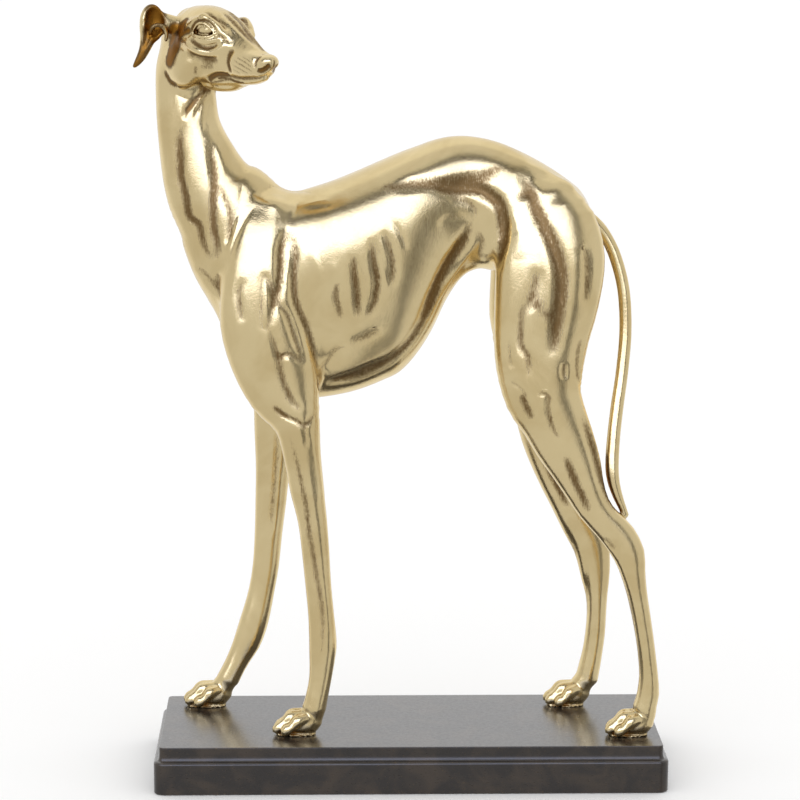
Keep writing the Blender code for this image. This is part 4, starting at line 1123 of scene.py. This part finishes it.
def figure_field():
    """Two functions: the distance to the surface, cut flat at the soles, and the grooves' depth."""
    solids = figure_solids()
    head = next(solid for solid in solids if isinstance(solid, Head))
    lines = [Line(width, depth, points) for width, depth, points in NEAR_LINES + THROAT_LINES]
    for line in lines:
        line.lay(lambda p: carve(p, solids, []))
    lines += [Line(width, depth, points, side) for side, width, depth, points in SIDE_LINES]

    def field(p):
        """The greater of the carved distance and the depth below the soles."""
        return np.maximum(carve(p, solids, lines), -p[:, 2])

    # The grooves' depth, read by the gold as painted shade and patina in the grooves
    def hollow(p):
        """A share of the body grooves' depth, up to its most, plus the whole depth of the head's."""
        body = np.minimum(BODY_GROOVE_SHADE * cut_depth(p, lines), BODY_MOST)
        return body + cut_depth(head.fold(p), head.lines)

    return field, hollow

# %% [markdown]
# From field to faces
#
# The surface is where the field is zero. We lay a fine grid around the figure, start from coarse
# blocks and halve only those that the surface may cross, and put one vertex into each crossed
# cell, at the mean of the places where the cell's edges are cut. Each cut edge of the grid then
# gives one four-sided face. A Newton step then moves the vertices onto the true surface.

# %% Grid
GRID_STEP = 1.1
BLOCK = 16
FILL = 0.3
CHUNK = 400000
# A block may be crossed where its middle is nearer than this share of its size and these steps
NEAR_SHARE = 1.15
NEAR_STEPS = 1.2
FIELD_LOW = (-285.0, -110.0, -6.0)
FIELD_HIGH = (264.0, 92.0, 736.0)
cell_count = np.prod((np.array(FIELD_HIGH) - np.array(FIELD_LOW)) / GRID_STEP)
print("cells of the grid, if all were worked out:", round(cell_count / 1e6), "million")


def in_chunks(field, p):
    """The field at many points, worked out some at a time to save memory."""
    parts = [field(p[i:i + CHUNK]) for i in range(0, len(p), CHUNK)]
    return np.concatenate(parts) if parts else np.zeros(0)


def sample(field):
    """Field values on the grid, exact near the surface and only the sign elsewhere."""
    low = np.array(FIELD_LOW)
    blocks = np.ceil((np.array(FIELD_HIGH) - low) / (GRID_STEP * BLOCK)).astype(int)
    cells = np.stack(np.meshgrid(*[np.arange(m) for m in blocks], indexing='ij'), -1).reshape(-1, 3)
    halves = np.array([[i, j, k] for i in (0, 1) for j in (0, 1) for k in (0, 1)])
    size = BLOCK
    while size > 1:
        d = in_chunks(field, low + GRID_STEP * (cells * size + (size - 1) / 2))
        signs = np.sign(d) * FAR_AWAY
        if size == BLOCK:
            values = signs.reshape(blocks).astype(np.float32)
            for axis in range(3):
                values = np.repeat(values, BLOCK, axis)
        near = np.abs(d) < GRID_STEP * (size * NEAR_SHARE + NEAR_STEPS)
        rest = cells[~near] * size
        for offset in np.stack(np.meshgrid(*[np.arange(size)] * 3, indexing='ij'), -1).reshape(-1, 3):
            i, j, k = (rest + offset).T
            values[i, j, k] = signs[~near]
        cells = (cells[near][:, None, :] * 2 + halves[None]).reshape(-1, 3)
        size //= 2
    values[cells[:, 0], cells[:, 1], cells[:, 2]] = in_chunks(field, low + GRID_STEP * cells)
    return low, values


def split_patterns():
    """Which in-and-out patterns of a cube's eight corners leave either kind in two parts."""
    split = np.zeros(256, dtype=bool)
    for pattern in range(256):
        for kind in (0, 1):
            alike = {c for c in range(8) if pattern >> c & 1 == kind}
            reached = set(sorted(alike)[:1])
            grown = True
            while grown:
                beside = {c ^ step for c in reached for step in (1, 2, 4)} & alike
                grown = not beside <= reached
                reached |= beside
            split[pattern] |= reached != alike
    return split


print("patterns of a cube that would cross it twice:", split_patterns().sum(), "of 256")

# %% Clean cells
def close_corners(values):
    """Fills the cells of the grid that the surface would cross in two places."""
    split = split_patterns()
    n = np.array(values.shape) - 1
    corners = [(c & 1, c >> 1 & 1, c >> 2) for c in range(8)]
    while True:
        pattern = np.zeros(n, dtype=np.uint8)
        for c, (i, j, k) in enumerate(corners):
            pattern += (values[i:n[0] + i, j:n[1] + j, k:n[2] + k] < 0).astype(np.uint8) << c
        x, y, z = np.nonzero(split[pattern])
        if len(x) == 0:
            return
        for i, j, k in corners:
            old = values[x + i, y + j, z + k]
            values[x + i, y + j, z + k] = np.minimum(old, -FILL * GRID_STEP)

# %% Vertices of the skin
def cell_vertices(low, values):
    """A vertex for each crossed cell, at the mean of the cuts of its edges, and each cell's number."""
    within = values < 0
    n = np.array(values.shape)
    corners = np.array([[i, j, k] for i in (0, 1) for j in (0, 1) for k in (0, 1)])
    count = np.zeros(n - 1, dtype=np.int8)
    for i, j, k in corners:
        count += within[i:n[0] - 1 + i, j:n[1] - 1 + j, k:n[2] - 1 + k]
    crossed = np.nonzero(((count > 0) & (count < 8)).ravel())[0]
    number = np.full(count.size, -1, dtype=np.int32)
    number[crossed] = np.arange(len(crossed))
    cell = np.stack(np.unravel_index(crossed, count.shape), -1)
    at_corner = [values[cell[:, 0] + i, cell[:, 1] + j, cell[:, 2] + k] for i, j, k in corners]
    total = np.zeros((len(cell), 3))
    hits = np.zeros(len(cell))
    for a in range(8):
        for b in range(a + 1, 8):
            if np.abs(corners[a] - corners[b]).sum() != 1:
                continue
            hit = (at_corner[a] < 0) != (at_corner[b] < 0)
            t = np.where(hit, at_corner[a] / np.where(hit, at_corner[a] - at_corner[b], 1), 0)
            total += hit[:, None] * (corners[a] + t[:, None] * (corners[b] - corners[a]))
            hits += hit
    return low + GRID_STEP * (cell + total / hits[:, None]), number.reshape(count.shape)

# %% Faces of the skin
def cut_faces(within, number):
    """A face for each cut edge of the grid, through the four cells about it, turned to face out."""
    n = np.array(within.shape)
    faces = []
    for axis in range(3):
        one, two = (axis + 1) % 3, (axis + 2) % 3
        before = [slice(1, m - 1) for m in n]
        after = [slice(1, m - 1) for m in n]
        before[axis] = slice(0, n[axis] - 1)
        after[axis] = slice(1, n[axis])
        start = within[tuple(before)]
        edge = np.stack(np.nonzero(start != within[tuple(after)]), -1)
        outward = start[edge[:, 0], edge[:, 1], edge[:, 2]]
        edge += np.array([q != axis for q in range(3)], dtype=int)
        ring = []
        for a, b in ((-1, -1), (0, -1), (0, 0), (-1, 0)):
            k = edge.copy()
            k[:, one] += a
            k[:, two] += b
            ring.append(number[tuple(k.T)])
        ring = np.stack(ring, -1)
        ring[~outward] = ring[~outward][:, ::-1]
        faces.append(ring)
    return np.vstack(faces)


def skin(field):
    """Vertices and four-sided faces of the surface on which a field is zero."""
    low, values = sample(field)
    close_corners(values)
    vertices, number = cell_vertices(low, values)
    return vertices, cut_faces(values < 0, number)

# %% Settle
PROBE = 0.8
FLATTEST = 0.05


def settle(field, p):
    """Moves each point to the zero surface: against the slope, by value over squared slope.

    Value and slope come from four probes at the corners of a small tetrahedron about the point.
    """
    spread = np.array([[1, 1, 1], [1, -1, -1], [-1, 1, -1], [-1, -1, 1]], dtype=float)
    slope = np.zeros_like(p)
    value = np.zeros(len(p))
    for direction in spread:
        d = in_chunks(field, p + direction * PROBE)
        slope += d[:, None] * direction
        value += d / 4
    slope /= 4 * PROBE
    move = -(value / np.maximum((slope * slope).sum(1), FLATTEST))[:, None] * slope
    length = np.linalg.norm(move, axis=1, keepdims=True)
    moved = p + move * np.minimum(1, GRID_STEP / np.maximum(length, 1e-6))
    moved[:, 2] = np.maximum(moved[:, 2], 0)
    return moved

# %% [markdown]
# The greyhound
#
# The fine surface has over half a million faces, far more than a smooth belly needs. A Decimate
# modifier keeps the small faces where the form turns quickly, as on the face and the paws, and
# its result is made the mesh. After that the vertices are settled once more, because collapsing an
# edge leaves its vertex a little off the surface. Each vertex also gets its painted shade: the field
# a short way out along the normal is as large as that way where nothing is near, and smaller in a
# groove or between two forms, where shade falls. Fine grooves, and the patches of painted shade and
# painted dark reflection, count too. The gold reads it as painted shade, partly patina, in its colour.

# %% Helpers for the greyhound's mesh
FIGURE_TRIANGLES = 196000
# How far out the field is sought for the painted shade of recesses, and the groove depth at which the painted
# shade and patina are full
RECESS_REACH = 7.0
FULL_SHADE_DEPTH = 2.8
SPARING = 0.05
HEAD_FROM = 640.0
PAWS_TO = 34.0
scale = (figure_high[2] - figure_low[2]) / HEIGHT_PARTS


def to_world(p):
    """Stations to metres: scaled by the height, standing on the soles of the CAD figure."""
    return p * scale + np.array([0.0, 0.0, figure_low[2]])


def thin(obj, triangles, spared):
    """Reduces a mesh by Decimate, less where spared is true, and makes the result its mesh."""
    group = obj.vertex_groups.new(name="thinned")
    group.add(np.nonzero(~spared)[0].tolist(), 1.0, "REPLACE")
    reduce = obj.modifiers.new("reduce", "DECIMATE")
    reduce.vertex_group = group.name
    reduce.vertex_group_factor = SPARING
    reduce.ratio = min(1.0, triangles / (2 * len(obj.data.polygons)))
    result = bpy.data.meshes.new_from_object(obj.evaluated_get(bpy.context.evaluated_depsgraph_get()))
    obj.modifiers.clear()
    obj.vertex_groups.clear()
    obj.data = result


def points_of(mesh):
    """The vertices of a mesh as an array."""
    flat = np.empty(len(mesh.vertices) * 3, dtype=np.float32)
    mesh.vertices.foreach_get("co", flat)
    return flat.reshape(-1, 3).astype(float)


def normals_of(mesh):
    """The vertex normals of a mesh as an array."""
    flat = np.empty(len(mesh.vertices) * 3, dtype=np.float32)
    mesh.vertex_normals.foreach_get("vector", flat)
    return flat.reshape(-1, 3).astype(float)


def painted_shade_patches(p):
    """How much painted shade and painted dark reflection: for each table line, strength times a bell curve of
    the distance.
    """
    most = np.zeros(len(p))
    for table, q in ((BODY_PAINTED_SHADE, p), (FACE_PAINTED_SHADE, to_head(p))):
        for width, strength, points in table:
            squared = nearest(q, smooth_line(points, width))[1]
            most = np.maximum(most, strength * np.exp(-squared / (2 * width ** 2)))
    return most


# %% Making the hound
field, hollow = figure_field()
vertices, faces = skin(field)
print("skin:", len(vertices), "vertices,", len(faces), "faces before thinning")
vertices = settle(field, vertices)
hound = link_mesh("hound", vertices, faces)
thin(hound, FIGURE_TRIANGLES, (vertices[:, 2] > HEAD_FROM) | (vertices[:, 2] < PAWS_TO))
mesh = hound.data
mesh.vertices.foreach_set("co", settle(field, points_of(mesh)).astype(np.float32).ravel())
mesh.update()
skin_points = points_of(mesh)
# Painted shade, partly patina: darker near recesses, on the painted patches and in the grooves
shade_and_patina = 1 - np.clip(in_chunks(field, skin_points + normals_of(mesh) * RECESS_REACH) / RECESS_REACH, 0, 1)
shade_and_patina = np.maximum(shade_and_patina, painted_shade_patches(skin_points))
shade_and_patina = np.maximum(shade_and_patina, np.sqrt(np.clip(in_chunks(hollow, skin_points) / FULL_SHADE_DEPTH, 0, 1)))
mesh.attributes.new("shade_and_patina", "FLOAT", "POINT").data.foreach_set("value", shade_and_patina.astype(np.float32))
mesh.vertices.foreach_set("co", to_world(points_of(mesh)).astype(np.float32).ravel())
mesh.update()
mesh.shade_smooth()
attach(hound, "root")
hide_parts("greyhound")
share = np.mean(skin_points[:, 2] > HEAD_FROM)
print("hound:", len(mesh.vertices), "vertices,", len(mesh.polygons), "faces")
print("on the head:", round(100 * share), "% of them")

# %% [markdown]
# The plinth
#
# The plinth is a profile carried along a path: the path is a rectangle with round corners, and the
# profile is the moulding from the foot up, with a worn foot edge, a slab, a rounded shoulder, a
# hollow cove, a plain band and a soft top edge. Each point of the path moves outwards along its
# own normal by the profile's outset, so the corners stay round at every height. The closed faces
# above and below are grids of rings that shrink to the middle, which keeps the mesh even.

# %% The plinth's moulding
SLAB_OUTSET = 0.0055
FILLET_HEIGHT = 0.0085
COVE_HEIGHT = 0.0055
SHOULDER_RADIUS = 0.003
TOP_EDGE_RADIUS = 0.0008
FOOT_EDGE_RADIUS = 0.0012
CORNER_RADIUS = 0.005
CORNER_STEPS = 12
SIDE_STEP = 0.004
# How much hands have rubbed the foot edge and the top edge
FOOT_RUB = 0.9
TOP_RUB = 1.0
# Rings of the flat faces, each as a share of the outline
INWARD = (0.985, 0.95, 0.85, 0.7, 0.5, 0.3, 0.12)


def rounded_path(length, depth, radius):
    """Points and outward normals along a rectangle with round corners, even steps on its sides."""
    points, normals = [], []
    corners = ((1, 1), (-1, 1), (-1, -1), (1, -1))
    for quarter, (sx, sy) in enumerate(corners):
        turn = math.pi / 2 * (quarter + np.linspace(0, 1, CORNER_STEPS + 1))
        normal = np.stack([np.cos(turn), np.sin(turn)], 1)
        centre = np.array([sx * (length / 2 - radius), sy * (depth / 2 - radius)])
        arc = centre + normal * radius
        nx, ny = corners[(quarter + 1) % 4]
        following = np.array([nx * (length / 2 - radius), ny * (depth / 2 - radius)]) + normal[-1] * radius
        count = max(2, int(np.linalg.norm(following - arc[-1]) / SIDE_STEP))
        t = np.linspace(0, 1, count, endpoint=False)[1:, None]
        points += [arc, arc[-1] + (following - arc[-1]) * t]
        normals += [normal, np.repeat(normal[-1:], count - 1, 0)]
    return np.vstack(points), np.vstack(normals)


def quarter_turn(steps, start=0):
    """Sine and cosine of even steps through a quarter turn."""
    turn = np.linspace(0, math.pi / 2, steps + 1)[start:]
    return np.sin(turn), np.cos(turn)


def moulding(height):
    """The profile from the foot up: outset, height, and how much the place is rubbed by hands."""
    cove_top = height - FILLET_HEIGHT
    cove_foot = cove_top - COVE_HEIGHT
    run = SLAB_OUTSET - SHOULDER_RADIUS
    s, c = quarter_turn(6)
    foot_x = SLAB_OUTSET - FOOT_EDGE_RADIUS * (1 - s)
    foot = np.stack([foot_x, FOOT_EDGE_RADIUS * (1 - c), s * 0 + FOOT_RUB], 1)
    slab_z = np.linspace(FOOT_EDGE_RADIUS, cove_foot - SHOULDER_RADIUS, 9)[1:-1]
    slab = np.stack([slab_z * 0 + SLAB_OUTSET, slab_z, slab_z * 0], 1)
    s, c = quarter_turn(8)
    shoulder_z = cove_foot - SHOULDER_RADIUS * (1 - s)
    shoulder = np.stack([SLAB_OUTSET - SHOULDER_RADIUS * (1 - c), shoulder_z, 2 * s * c], 1)
    s, c = quarter_turn(8, 1)
    cove = np.stack([run * (1 - s), cove_foot + COVE_HEIGHT * (1 - c), s * 0], 1)
    band_z = np.linspace(cove_top, height - TOP_EDGE_RADIUS, 5)[1:-1]
    band = np.stack([band_z * 0, band_z, band_z * 0], 1)
    s, c = quarter_turn(6)
    top_z = height - TOP_EDGE_RADIUS * (1 - s)
    top = np.stack([-TOP_EDGE_RADIUS * (1 - c), top_z, s * 0 + TOP_RUB], 1)
    return np.vstack([foot, slab, shoulder, cove, band, top])


def plinth_block(length, depth, height):
    """Rings of the path at each profile point, and rings shrinking to the middle above and below."""
    path, normal = rounded_path(length, depth, CORNER_RADIUS)
    profile = moulding(height)
    rings = path[None] + normal[None] * profile[:, 0, None, None]
    z = np.repeat(profile[:, 1, None], len(path), 1)
    rub = np.repeat(profile[:, 2, None], len(path), 1)
    inward = np.array(INWARD)[:, None, None]
    above = rings[-1][None] * inward
    below = rings[0][None] * inward[::-1]
    rings = np.concatenate([below, rings, above])
    z = np.vstack([np.repeat(z[:1], len(inward), 0), z, np.repeat(z[-1:], len(inward), 0)])
    rub = np.vstack([np.zeros((len(inward), len(path))), rub, np.zeros((len(inward), len(path)))])
    vertices = np.concatenate([rings, z[:, :, None]], 2).reshape(-1, 3)
    rows, count = z.shape
    i, j = np.meshgrid(np.arange(rows - 1), np.arange(count), indexing="ij")
    k = (j + 1) % count
    sides = np.stack([i * count + j, i * count + k, (i + 1) * count + k, (i + 1) * count + j], -1)
    sides = sides.reshape(-1, 4)
    middle = np.array([[0, 0, z[0, 0]], [0, 0, z[-1, 0]]])
    vertices = np.vstack([vertices, middle])
    low, high = len(vertices) - 2, len(vertices) - 1
    ring = np.arange(count)
    turned = np.roll(ring, -1)
    last = (rows - 1) * count
    fan_below = np.stack([turned, ring, ring * 0 + low], 1)
    fan_above = np.stack([last + ring, last + turned, ring * 0 + high], 1)
    return vertices, sides, np.vstack([fan_below, fan_above]), np.append(rub.ravel(), [0, 0])


# %% Making the plinth
top_length, top_depth = (plinth_high - plinth_low)[:2] - 2 * SLAB_OUTSET
vertices, sides, fans, rub = plinth_block(top_length, top_depth, plinth_high[2])
base = link_mesh("plinth_block", vertices, sides)
mesh = base.data
mesh.loops.add(fans.size)
mesh.loops.foreach_set("vertex_index", np.append(sides.ravel(), fans.ravel()).astype(np.int32))
mesh.polygons.add(len(fans))
loop_starts = np.append(np.arange(0, sides.size, 4), sides.size + np.arange(0, fans.size, 3))
mesh.polygons.foreach_set("loop_start", loop_starts.astype(np.int32))
mesh.update(calc_edges=True)
mesh.shade_smooth()
mesh.attributes.new("rub", "FLOAT", "POINT").data.foreach_set("value", rub.astype(np.float32))
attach(base, "root")
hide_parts("plinth")
print("plinth_block:", len(mesh.vertices), "vertices,", len(mesh.polygons), "faces")

# %% [markdown]
# Shared finishes
#
# Both materials have been rubbed down by hand and both are a little uneven, so two effects are
# made once, as node groups: hand rubbing, a noise drawn out along one direction, and clouding, a
# soft blotchy noise in two sizes. A group only puts out masks; each material decides what to do
# with them.

# %% Node groups
def new_group(name, inputs, outputs):
    """A shader node group with number inputs (name, value) and outputs, and its two end nodes."""
    group = bpy.data.node_groups.new(name, "ShaderNodeTree")
    for label, value in inputs:
        group.interface.new_socket(label, in_out="INPUT", socket_type="NodeSocketFloat").default_value = value
    for label in outputs:
        group.interface.new_socket(label, in_out="OUTPUT", socket_type="NodeSocketFloat")
    return group, node(group, "NodeGroupInput"), node(group, "NodeGroupOutput")


def noise(tree, vector, scale, detail=2.0, rough=0.5, warp=0.0):
    """The output of a noise texture at that many cells a metre."""
    new = node(tree, "ShaderNodeTexNoise")
    tree.links.new(vector, new.inputs["Vector"])
    for socket, number in (("Scale", scale), ("Detail", detail), ("Roughness", rough), ("Distortion", warp)):
        feed(tree, new, socket, number)
    return new.outputs["Fac"]


rubbing, gin, gout = new_group("hand_rubbing", [("Scale", 900.0), ("Stretch", 12.0)], ["Streaks"])
spot = node(rubbing, "ShaderNodeTexCoord").outputs["Object"]
split = node(rubbing, "ShaderNodeSeparateXYZ")
rubbing.links.new(spot, split.inputs[0])
joined = node(rubbing, "ShaderNodeCombineXYZ")
rubbing.links.new(split.outputs[0], joined.inputs[0])
rubbing.links.new(split.outputs[1], joined.inputs[1])
rubbing.links.new(calc(rubbing, "DIVIDE", split.outputs[2], gin.outputs["Stretch"]), joined.inputs[2])
drawn_out = noise(rubbing, joined.outputs[0], gin.outputs["Scale"], 3.0, 0.6, 0.4)
rubbing.links.new(drawn_out, gout.inputs["Streaks"])

clouding, gin, gout = new_group("clouding", [("Scale", 18.0)], ["Clouds", "Specks"])
spot = node(clouding, "ShaderNodeTexCoord").outputs["Object"]
clouding.links.new(noise(clouding, spot, gin.outputs["Scale"], 4.0, 0.55, 0.6), gout.inputs["Clouds"])
fine = calc(clouding, "MULTIPLY", gin.outputs["Scale"], 24.0)
clouding.links.new(noise(clouding, spot, fine, 3.0, 0.7), gout.inputs["Specks"])
print("groups:", rubbing.name, clouding.name)

# %% [markdown]
# Gold leaf
#
# The figure's gold is pale champagne, gently polished, with fine rubbed streaks. Its colour holds
# painted shade, partly patina: deeper golden brown and duller in the recesses, grooves and patches.

# %% Gold leaf
def use_group(tree, group, **values):
    """A node that runs a group, with its input values."""
    new = tree.nodes.new("ShaderNodeGroup")
    new.node_tree = group
    for name, value in values.items():
        new.inputs[name].default_value = value
    return new


def new_material(name):
    """A material, its node tree and its Principled shader."""
    made = bpy.data.materials.new(name)
    made.use_nodes = True
    return made, made.node_tree, made.node_tree.nodes["Principled BSDF"]


# Colours of the leaf, of its painted shade and patina, and of the deepest painted shade
CHAMPAGNE = (0.84, 0.68, 0.38, 1.0)
WARM_CHAMPAGNE = (0.74, 0.58, 0.30, 1.0)
SHADE_UMBER = (0.20, 0.125, 0.050, 1.0)
DEEP_SHADE_GOLD = (0.30, 0.135, 0.018, 1.0)
# Roughness of the polished leaf, of its rubbed streaks and of the painted shade and patina
POLISHED = 0.15
RUBBED = 0.24
DULL = 0.42
# Where the painted shade and patina start and are full, and how far specks and streaks shift it
SHADE_PATINA_FROM = 0.32
SHADE_PATINA_FULL = 0.66
SPECK_SWING = 0.30
STREAK_SWING = 0.45
gold, tree, shader = new_material("gold_leaf")
clouds = use_group(tree, clouding, Scale=16.0)
streaks = use_group(tree, rubbing, Scale=1400.0, Stretch=14.0)
depth = node(tree, "ShaderNodeAttribute", attribute_name="shade_and_patina").outputs["Fac"]
swings = (clouds.outputs["Specks"], SPECK_SWING), (streaks.outputs["Streaks"], STREAK_SWING)
for mask, swing in swings:
    uneven = calc(tree, "MULTIPLY", calc(tree, "SUBTRACT", mask, 0.5), swing)
    depth = calc(tree, "ADD", depth, uneven)
# Painted shade, partly patina: umber, then deep gold in the deepest places
shade_patina_mask = ramp(tree, depth, SHADE_PATINA_FROM, SHADE_PATINA_FULL)
leaf = tint(tree, ramp(tree, clouds.outputs["Clouds"], 0.35, 0.7), CHAMPAGNE, WARM_CHAMPAGNE)
shaded_leaf = tint(tree, shade_patina_mask, leaf, SHADE_UMBER)
feed(tree, shader, "Base Color", tint(tree, ramp(tree, depth, SHADE_PATINA_FULL, 1.0), shaded_leaf, DEEP_SHADE_GOLD))
shader.inputs["Metallic"].default_value = 1.0
rough = blend(tree, ramp(tree, streaks.outputs["Streaks"], 0.3, 0.7), POLISHED, RUBBED)
feed(tree, shader, "Roughness", blend(tree, shade_patina_mask, rough, DULL))
grain = node(tree, "ShaderNodeBump", Strength=0.16, Distance=0.0003)
tree.links.new(streaks.outputs["Streaks"], grain.inputs["Height"])
bump = node(tree, "ShaderNodeBump", Strength=0.14, Distance=0.0008)
tree.links.new(clouds.outputs["Specks"], bump.inputs["Height"])
tree.links.new(grain.outputs[0], bump.inputs["Normal"])
tree.links.new(bump.outputs[0], shader.inputs["Normal"])
hound.data.materials.clear()
hound.data.materials.append(gold)
print("gold leaf has", len(tree.nodes), "nodes")

# %% [markdown]
# Antiqued bronze
#
# The plinth is nearly black with a brown cast under a thin satin lacquer. Lighter bronze shows in
# specks and where the edges have been rubbed through.

# %% Antiqued bronze
NEAR_BLACK = (0.017, 0.013, 0.011, 1.0)
DARK_BROWN = (0.040, 0.028, 0.019, 1.0)
RUBBED_BRONZE = (0.20, 0.135, 0.07, 1.0)
bronze, tree, shader = new_material("antiqued_bronze")
clouds = use_group(tree, clouding, Scale=30.0)
streaks = use_group(tree, rubbing, Scale=260.0, Stretch=0.25)
rub = node(tree, "ShaderNodeAttribute", attribute_name="rub").outputs["Fac"]
ground = tint(tree, ramp(tree, clouds.outputs["Clouds"], 0.4, 0.68), NEAR_BLACK, DARK_BROWN)
specks = ramp(tree, clouds.outputs["Specks"], 0.60, 0.72)
worn = calc(tree, "MULTIPLY", calc(tree, "ADD", calc(tree, "MULTIPLY", rub, 0.55), 0.30), specks)
feed(tree, shader, "Base Color", tint(tree, worn, ground, RUBBED_BRONZE))
feed(tree, shader, "Metallic", worn)
feed(tree, shader, "Roughness", ramp(tree, streaks.outputs["Streaks"], 0.25, 0.75, 0.26, 0.40))
facing = node(tree, "ShaderNodeSeparateXYZ")
tree.links.new(node(tree, "ShaderNodeNewGeometry").outputs["Normal"], facing.inputs[0])
feed(tree, shader, "Coat Weight", ramp(tree, facing.outputs[2], 0.0, 1.0, 0.12, 0.95))
shader.inputs["Coat Roughness"].default_value = 0.22
shader.inputs["Coat IOR"].default_value = 1.6
bump = node(tree, "ShaderNodeBump", Strength=0.10, Distance=0.0004)
tree.links.new(clouds.outputs["Specks"], bump.inputs["Height"])
tree.links.new(bump.outputs[0], shader.inputs["Normal"])
base.data.materials.append(bronze)
print("bronze has", len(tree.nodes), "nodes")
